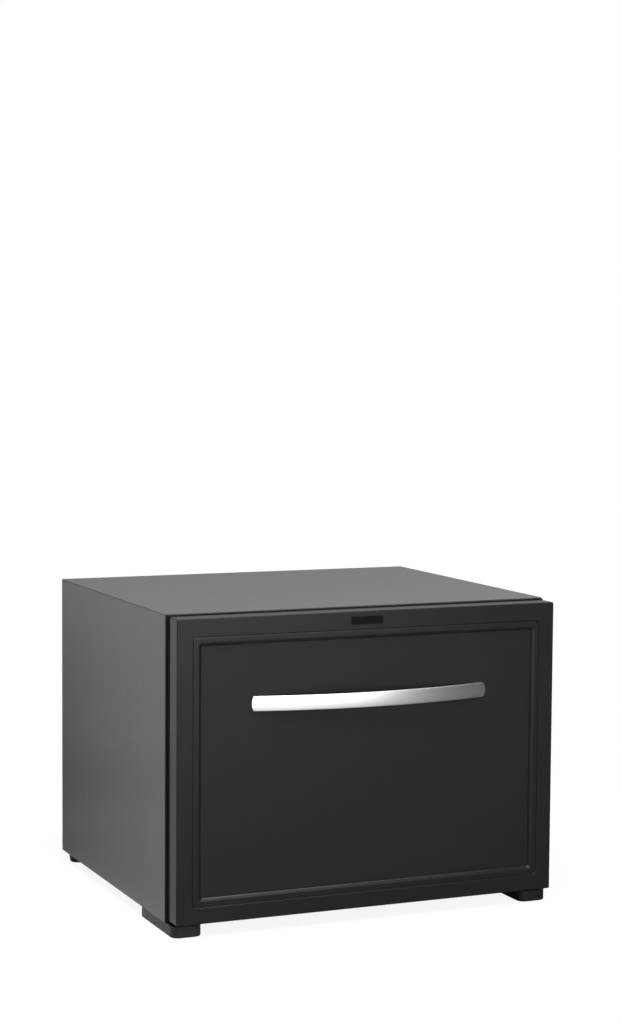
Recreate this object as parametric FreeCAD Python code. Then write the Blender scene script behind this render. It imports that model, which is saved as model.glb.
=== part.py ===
import FreeCAD, Part
import math
import os

from FreeCAD import Vector

# A drawer-type hotel minibar: an insulated steel cabinet whose whole front is one drawer.
# Millimetres. X right (seen from the front), front towards -Y, Z up.
# Origin: on the floor, under the middle of the whole object's length and width.

# ---------------------------------------------------------------- driving dimensions

# Cabinet
cabinet_width = 570.6
cabinet_depth = 465.4
cabinet_height = 416.8
foot_height = 15.8
sheet = 0.8                    # outer steel
bend_radius = 1.2              # outside radius of a fold
seam = 0.6                     # open joint between two outer sheets
front_fold = 16.0              # folded edge round the opening, which the seal closes on
rear_fold = 12.0
back_sheet = 0.6
bay_depth = 95.0               # open bay behind the insulation, for the cooling unit

# Insulation and liner
foam_side = 30.0
foam_top = 30.0
foam_bottom = 34.0
foam_back = 34.0
liner_wall = 2.0
liner_radius = 14.0
trim_thickness = 2.2

# Drawer front
front_side_inset = 2.3         # inside the cabinet's sides
front_depth = 25.8
front_top_inset = 2.4          # below the cabinet's top
front_foot_gap = 3.6           # above the feet
front_wall = 2.6
front_corner_radius = 1.5
front_edge_radius = 0.9        # round the face
gasket_gap = 12.5              # between the drawer front and the cabinet
gasket_touch = 0.3             # left open between the seal and the folded edge
window_side = 23.0             # frame band beside the seam line
window_top = 25.2
window_bottom = 22.7
window_radius = 6.0
bezel_seam = 0.6
bezel_flat = 6.6
bezel_bevel = 5.0              # width of the rounded bevel, which steepens towards the panel
bezel_bevel_depth = 2.9
bezel_lip = 0.8                # straight drop from the bevel to the panel
bezel_flange = 6.0             # hidden edge behind the frame
panel_thickness = 1.2
plug_inset = 39.0              # raised middle of the inner liner, from the front's edge
plug_reach = 10.0              # how far it enters the cabinet
plug_radius = 20.0
plug_draft = 2.0               # drawn in towards its rear face
front_liner_wall = 2.0
gasket_inset = 0.4             # from the drawer front's outer edge
gasket_base_width = 16.0
gasket_base_height = 3.0
gasket_bulb_width = 11.0

# Handle
handle_length = 352.0
handle_height = 20.0
handle_rise = 25.9             # from the panel to its outermost point
handle_end_edge = 2.5          # height of the end above the panel
handle_thickness = 5.5
handle_crown = 1.4             # the middle stands this much prouder than the edges
handle_end_bulge = 3.0         # ends rounded outwards in the front view
handle_below_top = 121.3       # centre line under the cabinet's top
handle_screw_inset = 10.0

# Badge plate, left bare
badge_width = 47.0
badge_height = 11.0
badge_thickness = 0.8
badge_radius = 1.5
badge_offset = -7.6
badge_below_top = 15.2

# Feet
foot_across = 43.0
foot_side_inset = 1.3          # from the cabinet's side
foot_overhang = 28.0           # in front of the cabinet
foot_length = 135.0
foot_radius = 11.5
foot_edge = 1.2
rear_foot_radius = 12.0
rear_foot_taper = 2.0
rear_foot_side = 19.8          # centre, from the cabinet's side
rear_foot_back = 18.0          # and from its back

# Telescopic runners (all three members share one length)
runner_length = 300.0
runner_start = 14.0            # behind the cabinet's front plane
runner_axis_height = 118.0     # above the cabinet's underside
runner_width = 12.7
runner_steel = 1.2
outer_half = 22.5
outer_lip = 9.6
mid_back = 2.4
mid_lip = 10.8
inner_lip = 5.2
race_gap = 3.4                 # between two members' flanges
ball_radius = 2.0
ball_play = 0.06
cage_sheet = 0.6
cage_play = 0.3
cage_length = 92.0
balls_per_row = 2
outer_ball_depth = 6.2
inner_ball_depth = 8.0
runner_screw_inset = 60.0      # from either end of a member
carrier_screw_inset = 36.0

# Drawer bin and its carriers
carrier_steel = 1.5
carrier_height = 58.0
carrier_flange = 20.0
front_screw_spread = 14.5      # above and below the runner's axis
bin_side_gap = 0.6             # clear of the carriers' screw heads
bin_wall = 2.5
bin_depth = 268.0
bin_height = 150.0
bin_floor_gap = 12.0
bin_rim = 2.2
bin_radius = 10.0
bin_floor_radius = 5.0
bin_front_gap = 0.6
divider_thickness = 3.0
divider_height = 118.0
dividers = 2
bin_rib = 2.0                  # depth of the guides that hold a divider
bin_rib_width = 4.0
divider_play = 0.3
divider_notch = 35.0           # radius of the finger cut-out

# Inner controls
housing_length = 120.0
housing_width = 64.0
housing_height = 20.0
housing_radius = 8.0
housing_edge = 2.6
housing_from_front = 150.0
housing_from_side = 40.0
lens_length = 60.0
lens_depth = 3.0
lens_margin = 5.0              # above and below, to the housing's edges
lens_radius = 1.5
knob_radius = 16.0
knob_from_side = 22.4          # centre, from the housing's end
knob_height = 11.0
knob_taper = 1.5
knob_grip_count = 10
knob_grip_radius = 2.4
knob_grip_offset = 0.6         # of a grip's centre outside the rim
knob_gap = 0.4
stem_radius = 3.0
stem_length = 8.0
stem_play = 0.05

# Evaporator, and the tube that feeds it
tube_radius = 6.0
evaporator_width = 280.0
evaporator_height = 110.0
evaporator_base = 3.0
fin_depth = 20.0
fin_thickness = 1.6
fin_pitch = 24.0
evaporator_from_top = 46.0
pipe_hole_play = 0.5

# Absorption cooling unit
coil_bend = 27.0
coil_from_left = 89.3          # inside the cabinet's left side
coil_from_right = 219.3
unit_from_back_panel = 46.0
vessel_radius = 25.0
vessel_length = 190.0
vessel_dome = 9.0              # length of its drawn-in ends
vessel_height = 64.0           # axis above the cabinet's underside
boiler_radius = 33.0
boiler_height = 214.0
boiler_bottom = 62.0
boiler_from_right = 159.3
boiler_rim = 1.2               # the crimped lids stand this much prouder
boiler_rim_height = 5.0
return_radius = 4.8
return_drop = 14.0             # of the return tube's low run below the tank
return_bend = 12.0
return_inset = 22.0            # from the tank's end
condenser_radius = 8.0
condenser_below_top = 60.8
condenser_from_left = 115.3
cond_fins = 13
cond_fin_pitch = 19.0
cond_fin_height = 58.0
cond_fin_depth = 44.0
cond_fin_sheet = 0.8
cond_bend = 24.0
bracket_height = 22.0
bracket_steel = 1.5
bracket_foot = 16.0
bracket_length = 161.0
saddle_width = 40.0            # boiler's saddle
saddle_foot_width = 80.0

# Electrics
box_width = 96.0
box_height = 58.0
box_depth = 46.0
box_wall = 2.5
box_radius = 4.0
box_lid = 3.0
box_side = 18.0
box_bottom = 8.0
gland_flange_radius = 9.0
gland_flange = 3.0
gland_body_radius = 6.5
gland_bore_radius = 3.7
gland_length = 16.0
gland_from_side = 24.0         # centre, from the box's side

# Ventilation slots in the bottom pan
vent_slots = 8
vent_pitch = 26.0
vent_width = 8.0
vent_length = 56.0

# Screws
screw_head_radius = 3.6
screw_head = 1.8
screw_shank_radius = 1.9
screw_shank = 6.0
screw_play = 0.2
back_screws_per_side = 2
fold_clear = 0.2               # between sheets that lie side by side

# ---------------------------------------------------------------- places worked out from them

front_height = cabinet_height - front_top_inset - front_foot_gap
recess = bezel_bevel_depth + bezel_lip
overall_depth = handle_rise - recess + front_depth + gasket_gap + cabinet_depth

front_face = -overall_depth / 2 + handle_rise - recess
cab_front = front_face + front_depth + gasket_gap
cab_back = cab_front + cabinet_depth
cab_side = cabinet_width / 2
cab_bottom = foot_height
cab_top = foot_height + cabinet_height
bay_front = cab_back - bay_depth

panel_face = front_face + recess
front_side = cab_side - front_side_inset
front_top = cab_top - front_top_inset
front_bottom = front_top - front_height
front_back = front_face + front_depth

cavity_side = cab_side - sheet - foam_side - liner_wall
cavity_top = cab_top - sheet - foam_top - liner_wall
cavity_bottom = cab_bottom + sheet + foam_bottom + liner_wall
cavity_back = bay_front - foam_back - liner_wall
plug_face = cab_front + plug_reach

runner_front = cab_front + runner_start
runner_back = runner_front + runner_length
runner_z = cab_bottom + runner_axis_height
mid_half = outer_half - runner_steel - race_gap
inner_half = mid_half - runner_steel - race_gap
carrier_out = cavity_side - runner_width
bin_side = carrier_out - carrier_steel - screw_head - bin_side_gap
bin_bottom = cavity_bottom + bin_floor_gap
bin_top = bin_bottom + bin_height
bin_front = plug_face + carrier_steel + screw_head + bin_front_gap
bin_back = bin_front + bin_depth
handle_z = cab_top - handle_below_top

unit_y = bay_front + unit_from_back_panel
vessel_z = cab_bottom + vessel_height
condenser_z = cab_top - condenser_below_top
evaporator_top = cavity_top - evaporator_from_top
evaporator_z = evaporator_top - evaporator_height / 2
coil_left = -cab_side + coil_from_left
coil_right = cab_side - coil_from_right
coil_step = 2 * coil_bend
coil_passes = int((evaporator_z - vessel_z - coil_step) / coil_step)
boiler_x = cab_side - boiler_from_right
condenser_left = -cab_side + condenser_from_left


# ---------------------------------------------------------------- shared shapes

def export(name, *solids):
    """Write one node; several solids stay separate in it."""
    shape = solids[0] if len(solids) == 1 else Part.makeCompound(list(solids))
    shape.exportStep("parts/" + name + ".step")


def block(x, y, z):
    """A box between three pairs of limits."""
    size = (x[1] - x[0], y[1] - y[0], z[1] - z[0])
    return Part.makeBox(*size, Vector(x[0], y[0], z[0]))


def rounded_wire(u, v, radius, place):
    """A rectangle with round corners; place turns its two coordinates into a point."""
    corners = [(u[0], v[0], 1, 1), (u[1], v[0], -1, 1), (u[1], v[1], -1, -1), (u[0], v[1], 1, -1)]
    slack = radius * (1 - math.sqrt(0.5))
    turns = []
    for index, (cu, cv, su, sv) in enumerate(corners):
        along_u = (cu + su * radius, cv)
        along_v = (cu, cv + sv * radius)
        first, last = (along_v, along_u) if index % 2 == 0 else (along_u, along_v)
        turns.append((first, (cu + su * slack, cv + sv * slack), last))
    edges = []
    for index, (first, halfway, last) in enumerate(turns):
        edges.append(Part.Arc(place(*first), place(*halfway), place(*last)).toShape())
        following = turns[(index + 1) % len(turns)][0]
        if math.dist(last, following) > 1e-6:
            edges.append(Part.LineSegment(place(*last), place(*following)).toShape())
    return Part.Wire(edges)


def slab_y(x, z, radius, y):
    """A plate facing the front, its corners rounded in the front view."""
    wire = rounded_wire(x, z, radius, lambda u, v: Vector(u, y[0], v))
    return Part.Face(wire).extrude(Vector(0, y[1] - y[0], 0))


def slab_z(x, y, radius, z):
    """A lying plate, its corners rounded in the plan view."""
    wire = rounded_wire(x, y, radius, lambda u, v: Vector(u, v, z[0]))
    return Part.Face(wire).extrude(Vector(0, 0, z[1] - z[0]))


def grown(limits, by):
    """A pair of limits moved outwards on both sides."""
    return (limits[0] - by, limits[1] + by)


def rod(centre, radius, length, direction):
    return Part.makeCylinder(radius, length, centre, direction)


def mirrored(shape):
    return shape.mirror(Vector(0, 0, 0), Vector(1, 0, 0))


def export_pair(name, right_shape):
    """A right-hand piece and its mirror image on the left."""
    export(name + "_right", right_shape)
    export(name + "_left", mirrored(right_shape))


def turned(profile, base, direction):
    """A solid of revolution; profile lists (radius, height above base) from end to end."""
    corners = [(0, profile[0][1])] + profile + [(0, profile[-1][1])]
    points = [Vector(radius, 0, height) for radius, height in corners]
    solid = Part.Face(Part.makePolygon(points + points[:1])).revolve(
        Vector(0, 0, 0), Vector(0, 0, 1), 360)
    solid.Placement = FreeCAD.Placement(base, FreeCAD.Rotation(Vector(0, 0, 1), direction))
    return solid


def bent_tube(points, bends, radius):
    """A rod along straight runs joined by tangent bends, one bend radius for each inner point."""
    pieces = []
    start = points[0]
    for index in range(1, len(points) - 1):
        before = (points[index - 1] - points[index]).normalize()
        after = (points[index + 1] - points[index]).normalize()
        half = before.getAngle(after) / 2
        reach = bends[index - 1] / math.tan(half)
        first = points[index] + before * reach
        last = points[index] + after * reach
        inward = (before + after).normalize()
        centre = points[index] + inward * (bends[index - 1] / math.sin(half))
        if (first - start).Length > 1e-6:
            pieces.append(rod(start, radius, (first - start).Length, before * -1))
        disc = Part.Face(Part.Wire(Part.makeCircle(radius, first, before)))
        axis = (first - centre).cross(before * -1)
        pieces.append(disc.revolve(centre, axis, 180 - math.degrees(2 * half)))
        start = last
    if (points[-1] - start).Length > 1e-6:
        pieces.append(rod(start, radius, (points[-1] - start).Length, points[-1] - start))
    return pieces[0].fuse(pieces[1:]).removeSplitter()


def screw(point, outward):
    """A pan-head screw: the head stands on the surface at point, the shank goes in."""
    head = Part.makeCylinder(screw_head_radius, screw_head, point, outward)
    shank = Part.makeCylinder(screw_shank_radius, screw_shank, point, outward * -1)
    return head.fuse(shank).removeSplitter()


def flush_screw(point, outward):
    """A countersunk screw, its head level with the surface of a runner member at point."""
    head = Part.makeCone(screw_head_radius, screw_shank_radius, runner_steel, point, outward * -1)
    shank = Part.makeCylinder(screw_shank_radius, screw_shank, point, outward * -1)
    return head.fuse(shank).removeSplitter()


def flush_hole(point, outward):
    """Countersunk hole for a flush screw."""
    cone = Part.makeCone(screw_head_radius, screw_shank_radius, runner_steel, point, outward * -1)
    return cone.fuse(screw_hole(point, outward))


def screw_hole(point, outward):
    """Clearance for a screw's shank below the surface at point."""
    radius = screw_shank_radius + screw_play
    return Part.makeCylinder(radius, screw_shank + screw_play, point, outward * -1)


# ---------------------------------------------------------------- where the screws go

def runner_ends(inset):
    """Places along a runner member, this far in from its two ends."""
    return (runner_front + inset, runner_back - inset)


def runner_screw_points():
    """Outer member to the liner's wall, right-hand side; the heads face the drawer."""
    x = cavity_side - runner_steel
    return [Vector(x, y, runner_z) for y in runner_ends(runner_screw_inset)]


def carrier_screw_points():
    """Carrier plate to the inner member, right-hand side; the heads face the bin."""
    x = carrier_out - carrier_steel
    return [Vector(x, y, runner_z) for y in runner_ends(carrier_screw_inset)]


def front_screw_points():
    """Carrier's front flange to the drawer front, right-hand side; the heads face the rear."""
    x = carrier_out - carrier_flange / 2
    y = plug_face + carrier_steel
    return [Vector(x, y, runner_z + front_screw_spread * sign) for sign in (-1, 1)]


def back_screw_points():
    """Back panel to the side panels' rear edge of the insulation."""
    x = cab_side - sheet - foam_side / 2
    step = cabinet_height / (back_screws_per_side + 1)
    rows = [cab_bottom + step * (row + 1) for row in range(back_screws_per_side)]
    return [Vector(side * x, bay_front, z) for side in (-1, 1) for z in rows]


def handle_screw_points():
    """Through the panel into the handle's two feet."""
    x = handle_length / 2 - handle_screw_inset
    return [Vector(side * x, panel_face + panel_thickness, handle_z) for side in (-1, 1)]


# ---------------------------------------------------------------- cabinet sheets

def folded_channel(flat, folds):
    """Plan outline of a sheet with both ends folded the same way, as a face in the XY plane.

    flat is the outer wall's pair of Y limits; folds are the two folded lengths towards -X.
    """
    outer = [(-folds[0], flat[0]), (0, flat[0]), (0, flat[1]), (-folds[1], flat[1])]
    inner = [
        (-folds[1], flat[1] - sheet),
        (-sheet, flat[1] - sheet),
        (-sheet, flat[0] + sheet),
        (-folds[0], flat[0] + sheet),
    ]
    points = [Vector(u, v, 0) for u, v in outer + inner]
    face = Part.Face(Part.makePolygon(points + points[:1]))
    return face


def fold_edges(solid, axis, at, radius):
    """Round the long edges of a folded sheet that run along axis through the given places."""
    wanted = []
    for edge in solid.Edges:
        ends = [vertex.Point for vertex in edge.Vertexes]
        if len(ends) != 2:
            continue
        run = ends[1] - ends[0]
        if abs(run.dot(axis)) < 0.999 * run.Length:
            continue
        flat = ends[0] - axis * ends[0].dot(axis)
        if any((flat - place).Length < 1e-3 for place in at):
            wanted.append(edge)
    return solid.makeFillet(radius, wanted)


def side_panel():
    """Right-hand side: one sheet, folded inwards along its front and rear edges."""
    top = cab_top - sheet - seam
    height = top - cab_bottom
    face = folded_channel((cab_front, cab_back), (front_fold, rear_fold))
    solid = face.extrude(Vector(0, 0, height))
    solid.translate(Vector(cab_side, 0, cab_bottom))
    up = Vector(0, 0, 1)
    outside = [Vector(cab_side, cab_front, 0), Vector(cab_side, cab_back, 0)]
    inside = [Vector(cab_side - sheet, cab_front + sheet, 0),
              Vector(cab_side - sheet, cab_back - sheet, 0)]
    solid = fold_edges(solid, up, outside, bend_radius)
    return fold_edges(solid, up, inside, bend_radius - sheet)


def top_panel():
    """The lid sheet: folded down between the side panels along its front and rear edges."""
    side = cab_side
    fold_side = cab_side - front_fold - fold_clear
    plate = block((-side, side), (cab_front, cab_back), (cab_top - sheet, cab_top))
    front = block((-fold_side, fold_side), (cab_front, cab_front + sheet),
                  (cab_top - front_fold, cab_top - sheet))
    rear_side = cab_side - rear_fold - fold_clear
    rear = block((-rear_side, rear_side), (cab_back - sheet, cab_back),
                 (cab_top - rear_fold, cab_top - sheet))
    solid = plate.fuse([front, rear]).removeSplitter()
    outside = [Vector(0, cab_front, cab_top), Vector(0, cab_back, cab_top)]
    return fold_edges(solid, Vector(1, 0, 0), outside, sheet / 2)


def bottom_pan():
    """Lies between the side panels, folded up in front and behind, slotted under the bay."""
    side = cab_side - sheet - fold_clear
    plate = block((-side, side), (cab_front, cab_back), (cab_bottom, cab_bottom + sheet))
    fold_side = cab_side - front_fold - fold_clear
    front = block((-fold_side, fold_side), (cab_front, cab_front + sheet),
                  (cab_bottom + sheet, cab_bottom + front_fold))
    rear_side = cab_side - rear_fold - fold_clear
    rear = block((-rear_side, rear_side), (cab_back - sheet, cab_back),
                 (cab_bottom + sheet, cab_bottom + rear_fold))
    solid = plate.fuse([front, rear])
    clear = front_fold + fold_clear
    for fold_y in (cab_front, cab_back - sheet):
        for side_sign in (-1, 1):
            corner = sorted((side_sign * (cab_side - clear), side_sign * cab_side))
            notch_y = grown((fold_y, fold_y + sheet), fold_clear)
            solid = solid.cut(block(corner, notch_y, grown((cab_bottom, cab_bottom + sheet), 1)))
    middle = (bay_front + cab_back) / 2
    first = -(vent_slots - 1) * vent_pitch / 2
    slots = []
    for index in range(vent_slots):
        x = first + index * vent_pitch
        slots.append(slab_z((x - vent_width / 2, x + vent_width / 2),
                            (middle - vent_length / 2, middle + vent_length / 2),
                            vent_width / 2,
                            grown((cab_bottom, cab_bottom + sheet), 1)))
    return solid.cut(slots).removeSplitter()


def pipe_axis_point(y):
    return Vector(0, y, evaporator_z)


def pipe_hole(y):
    radius = tube_radius + pipe_hole_play
    return rod(pipe_axis_point(y[0]), radius, y[1] - y[0], Vector(0, 1, 0))


def back_panel():
    """Closes the insulation; the cooling unit hangs behind it."""
    side = cab_side - sheet - fold_clear
    y = (bay_front - back_sheet, bay_front)
    plate = block((-side, side), y, (cab_bottom + sheet + fold_clear, cab_top - sheet - fold_clear))
    holes = [screw_hole(point, Vector(0, 1, 0)) for point in back_screw_points()]
    holes.append(pipe_hole(grown(y, 1)))
    return plate.cut(holes)


def liner_cavity(y_front):
    """The open space inside the liner, its inner edges rounded."""
    cavity = block((-cavity_side, cavity_side), (y_front, cavity_back), (cavity_bottom, cavity_top))
    rounded = []
    for edge in cavity.Edges:
        ends = [vertex.Point for vertex in edge.Vertexes]
        if min(end.y for end in ends) < y_front + 1e-3 and max(end.y for end in ends) < y_front + 1:
            continue
        rounded.append(edge)
    return cavity.makeFillet(liner_radius, rounded)


def liner_outside(y_front):
    """The liner's outer skin: its cavity grown by the wall."""
    skin = block(grown((-cavity_side, cavity_side), liner_wall),
                 (y_front, cavity_back + liner_wall),
                 grown((cavity_bottom, cavity_top), liner_wall))
    rounded = []
    for edge in skin.Edges:
        ends = [vertex.Point for vertex in edge.Vertexes]
        if max(end.y for end in ends) < y_front + 1:
            continue
        rounded.append(edge)
    return skin.makeFillet(liner_radius + liner_wall, rounded)


def side_holes(points, outward):
    """Screw clearances on the right-hand side and their mirror images."""
    right = [screw_hole(point, outward) for point in points]
    return right + [mirrored(hole) for hole in right]


def inner_liner():
    """One moulded tub, open to the front."""
    front = cab_front + trim_thickness
    tub = liner_outside(front).cut(liner_cavity(front))
    holes = side_holes(runner_screw_points(), Vector(-1, 0, 0))
    holes.append(pipe_hole(grown((cavity_back, cavity_back + liner_wall), 1)))
    return tub.cut(holes)


def insulation_foam():
    """Foamed in place between the sheets and the liner."""
    front = cab_front + trim_thickness
    side = cab_side - sheet
    body = block((-side, side), (front, bay_front - back_sheet),
                 (cab_bottom + sheet, cab_top - sheet))
    holes = side_holes(runner_screw_points(), Vector(-1, 0, 0))
    holes += [screw_hole(point, Vector(0, 1, 0)) for point in back_screw_points()]
    holes.append(pipe_hole((cavity_back, bay_front)))
    clear = front_fold + 2 * fold_clear
    for side_sign in (-1, 1):
        x = sorted((side_sign * (side - clear), side_sign * (side + 1)))
        holes.append(block(x, (front - 1, front + fold_clear), (cab_bottom, cab_top)))
    return body.cut(liner_outside(front - 1)).cut(holes)


def front_trim():
    """Plastic frame that bridges the steel edge and the liner."""
    outer = cab_side - front_fold - fold_clear
    x = (-outer, outer)
    z = (cab_bottom + front_fold + fold_clear, cab_top - front_fold - fold_clear)
    plate = slab_y(x, z, fold_clear, (cab_front, cab_front + trim_thickness))
    opening = slab_y((-cavity_side, cavity_side), (cavity_bottom, cavity_top), liner_radius,
                     (cab_front - 1, cab_front + trim_thickness + 1))
    return plate.cut(opening)


# ---------------------------------------------------------------- feet

def front_foot():
    """Right-hand block foot, reaching out under the drawer front."""
    x_out = cab_side - foot_side_inset
    solid = slab_z((x_out - foot_across, x_out),
                   (cab_front - foot_overhang, cab_front - foot_overhang + foot_length),
                   foot_radius, (0, foot_height))
    return solid.makeChamfer(foot_edge, bottom_edges(solid))


def bottom_edges(solid):
    """All edges that lie on the floor."""
    return [edge for edge in solid.Edges if edge.BoundBox.ZMax < 1e-3]


def rear_foot():
    """Right-hand rear foot: round, narrower at the floor."""
    centre = Vector(cab_side - rear_foot_side, cab_back - rear_foot_back, 0)
    solid = Part.makeCone(rear_foot_radius, rear_foot_radius + rear_foot_taper, foot_height, centre)
    return solid.makeChamfer(foot_edge, bottom_edges(solid))


# ---------------------------------------------------------------- telescopic runners

def channel(half, s_web, s_lip, web_side):
    """One member: a C-section with its web and two flanges, as a solid on the right-hand side.

    s is measured from the cabinet's wall towards the drawer; web_side is where the web stands.
    """
    y = (runner_front, runner_back)

    def span(s0, s1):
        return (cavity_side - s1, cavity_side - s0)

    web = (s_web, s_web + runner_steel) if web_side == "wall" else (s_web - runner_steel, s_web)
    reach = (min(s_web, s_lip), max(s_web, s_lip))
    upright = block(span(*web), y, (runner_z - half, runner_z + half))
    upper = block(span(*reach), y, (runner_z + half - runner_steel, runner_z + half))
    lower = block(span(*reach), y, (runner_z - half, runner_z - half + runner_steel))
    return upright.fuse([upper, lower]).removeSplitter()


def ball_height(half):
    """Height of a row of balls above the runner's axis, outside a member of this half height."""
    return half + race_gap / 2


def races(depth, half):
    """The two long grooves that one cage's balls run in."""
    radius = ball_radius + ball_play
    start = [Vector(cavity_side - depth, runner_front - 1, runner_z + sign * ball_height(half))
             for sign in (-1, 1)]
    return [rod(point, radius, runner_length + 2, Vector(0, 1, 0)) for point in start]


def runner_outer():
    member = channel(outer_half, 0, outer_lip, "wall")
    member = member.cut(races(outer_ball_depth, mid_half))
    return member.cut([flush_hole(point, Vector(-1, 0, 0)) for point in runner_screw_points()])


def runner_mid():
    member = channel(mid_half, mid_back, mid_lip, "wall")
    return member.cut(races(outer_ball_depth, mid_half) + races(inner_ball_depth, inner_half))


def runner_inner():
    member = channel(inner_half, runner_width, inner_lip, "drawer")
    member = member.cut(races(inner_ball_depth, inner_half))
    return member.cut([screw_hole(point, Vector(-1, 0, 0)) for point in carrier_screw_points()])


def cage_middle():
    """A cage starts as far back as its members allow and follows the drawer forwards."""
    return (runner_front + runner_back) / 2


def ball_points(depth, half):
    step = cage_length / balls_per_row
    first = cage_middle() - cage_length / 2 + step / 2
    rows = [runner_z + sign * ball_height(half) for sign in (-1, 1)]
    return [Vector(cavity_side - depth, first + step * index, z)
            for z in rows for index in range(balls_per_row)]


def cage(depth, half, s_web, s_lip):
    """A thin U-shaped strip that keeps two rows of balls at their distance."""
    y = (cage_middle() - cage_length / 2, cage_middle() + cage_length / 2)
    top = ball_height(half) + cage_sheet / 2
    x = (cavity_side - s_lip, cavity_side - s_web)
    strips = []
    for sign in (-1, 1):
        z = sorted((runner_z + sign * top, runner_z + sign * (top - cage_sheet)))
        strips.append(block(x, y, z))
    web = block((x[1] - cage_sheet, x[1]), y, (runner_z - top, runner_z + top))
    holes = []
    for point in ball_points(depth, half):
        start = point - Vector(0, 0, cage_sheet)
        holes.append(rod(start, ball_radius + ball_play, 2 * cage_sheet, Vector(0, 0, 1)))
    return web.fuse(strips).removeSplitter().cut(holes)


def balls(depth, half):
    return [Part.makeSphere(ball_radius, point) for point in ball_points(depth, half)]


def outer_cage():
    s_web = runner_steel + cage_play
    return cage(outer_ball_depth, mid_half, s_web, outer_lip - cage_play)


def inner_cage():
    s_web = mid_back + runner_steel + cage_play
    return cage(inner_ball_depth, inner_half, s_web, mid_lip - cage_play)


# ---------------------------------------------------------------- drawer front

window_x = (-front_side + window_side, front_side - window_side)
window_z = (front_bottom + window_bottom, front_top - window_top)


def front_frame():
    """Moulded shell: the face band, its skirt, and the opening for the bezel."""
    outer = slab_y((-front_side, front_side), (front_bottom, front_top), front_corner_radius,
                   (front_face, front_back))
    face_edges = [edge for edge in outer.Edges if edge.BoundBox.YMax < front_face + 1e-3]
    outer = outer.makeFillet(front_edge_radius, face_edges)
    hollow = block((-front_side + front_wall, front_side - front_wall),
                   (front_face + front_wall, front_back + 1),
                   (front_bottom + front_wall, front_top - front_wall))
    window = slab_y(window_x, window_z, window_radius, (front_face - 1, front_face + front_wall + 1))
    return outer.cut([hollow, window])


def bezel_outline(inset):
    """Front-view limits of the bezel, moved inwards from the frame's window."""
    return grown(window_x, -inset), grown(window_z, -inset)


def recess_side(limits, place):
    """Section across the recess: square at the panel, its edges rounded out to the flat band."""
    deep = bezel_seam + bezel_flat + bezel_bevel
    half_turn = math.atan2(bezel_bevel_depth, bezel_bevel)
    radius = bezel_bevel / math.sin(2 * half_turn)
    bevel_end = front_face + bezel_bevel_depth
    low, high = limits[0] + deep, limits[1] - deep

    def edge(at, outward):
        shallow = at + outward * bezel_bevel
        halfway = (shallow - outward * radius * math.sin(half_turn),
                   front_face + radius * (1 - math.cos(half_turn)))
        return Part.Arc(place(shallow, front_face), place(*halfway), place(at, bevel_end))

    corners = [(high, bevel_end), (high, panel_face + 1), (low, panel_face + 1), (low, bevel_end)]
    rim = [(low - bezel_bevel, front_face), (low - bezel_bevel, front_face - 1),
           (high + bezel_bevel, front_face - 1), (high + bezel_bevel, front_face)]
    edges = [edge(low, -1).toShape(), edge(high, 1).toShape()]
    for run in (corners, rim):
        for first, last in zip(run, run[1:]):
            edges.append(Part.LineSegment(place(*first), place(*last)).toShape())
    return Part.Face(Part.Wire(Part.__sortEdges__(edges)))


def bezel_recess():
    """The opening over the panel: two crossing sections, so the bevels meet in mitres."""
    across = recess_side(window_x, lambda u, y: Vector(u, y, front_bottom))
    upright = recess_side(window_z, lambda v, y: Vector(-front_side, y, v))
    return across.extrude(Vector(0, 0, front_height)).common(
        upright.extrude(Vector(2 * front_side, 0, 0)))


def panel_bezel():
    """Ring between frame and panel: a flat band, a bevel down to the panel, a hidden flange."""
    x, z = bezel_outline(bezel_seam)
    band = slab_y(x, z, window_radius - bezel_seam, (front_face, panel_face))
    x, z = bezel_outline(-bezel_flange)
    flange = slab_y(x, z, window_radius + bezel_flange, (front_face + front_wall, panel_face))
    return band.fuse(flange).removeSplitter().cut(bezel_recess())


def front_panel():
    """Flat sheet behind the bezel; the handle's screws pass through it."""
    x, z = bezel_outline(-bezel_flange)
    panel = slab_y(x, z, window_radius + bezel_flange, (panel_face, panel_face + panel_thickness))
    return panel.cut([handle_screw_hole(point) for point in handle_screw_points()])


def plug_wire(inset, y):
    """Outline of the raised middle of the drawer front's inner side."""
    x = (-front_side + plug_inset + inset, front_side - plug_inset - inset)
    z = (front_bottom + plug_inset + inset, front_top - plug_inset - inset)
    return rounded_wire(x, z, plug_radius, lambda u, v: Vector(u, y, v))


def plug_body(inset, y):
    """The raised middle, drawn in towards its rear face."""
    return Part.makeLoft([plug_wire(inset, y[0]), plug_wire(inset + plug_draft, y[1])], True, True)


def front_inner_liner():
    """Vacuum-formed sheet: a rim that carries the seal and a raised middle."""
    edge = front_wall + fold_clear
    rim = block((-front_side + edge, front_side - edge), (front_back - front_liner_wall, front_back),
                (front_bottom + edge, front_top - edge))
    outside = plug_body(0, (front_back - front_liner_wall, plug_face))
    hollow = plug_body(front_liner_wall, (front_back - front_liner_wall - 1,
                                          plug_face - front_liner_wall))
    holes = side_holes(front_screw_places(), Vector(0, 1, 0))
    return rim.fuse(outside).cut(hollow).cut(holes).removeSplitter()


def front_screw_places():
    """Where the carriers' screws meet the inner liner's rear face."""
    return [Vector(point.x, plug_face, point.z) for point in front_screw_points()]


def front_foam():
    """Fills the drawer front between its panel and its inner liner."""
    edge = front_wall + fold_clear
    y = (panel_face + panel_thickness + fold_clear, front_back - front_liner_wall)
    core = block((-front_side + edge, front_side - edge), y, (front_bottom + edge, front_top - edge))
    plug = plug_body(front_liner_wall + fold_clear, (y[1], plug_face - front_liner_wall - fold_clear))
    holes = side_holes(front_screw_places(), Vector(0, 1, 0))
    for point in handle_screw_points():
        radius = screw_head_radius + screw_play
        holes.append(rod(point, radius, screw_head + screw_play, Vector(0, 1, 0)))
    return core.fuse(plug).cut(holes).removeSplitter()


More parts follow.
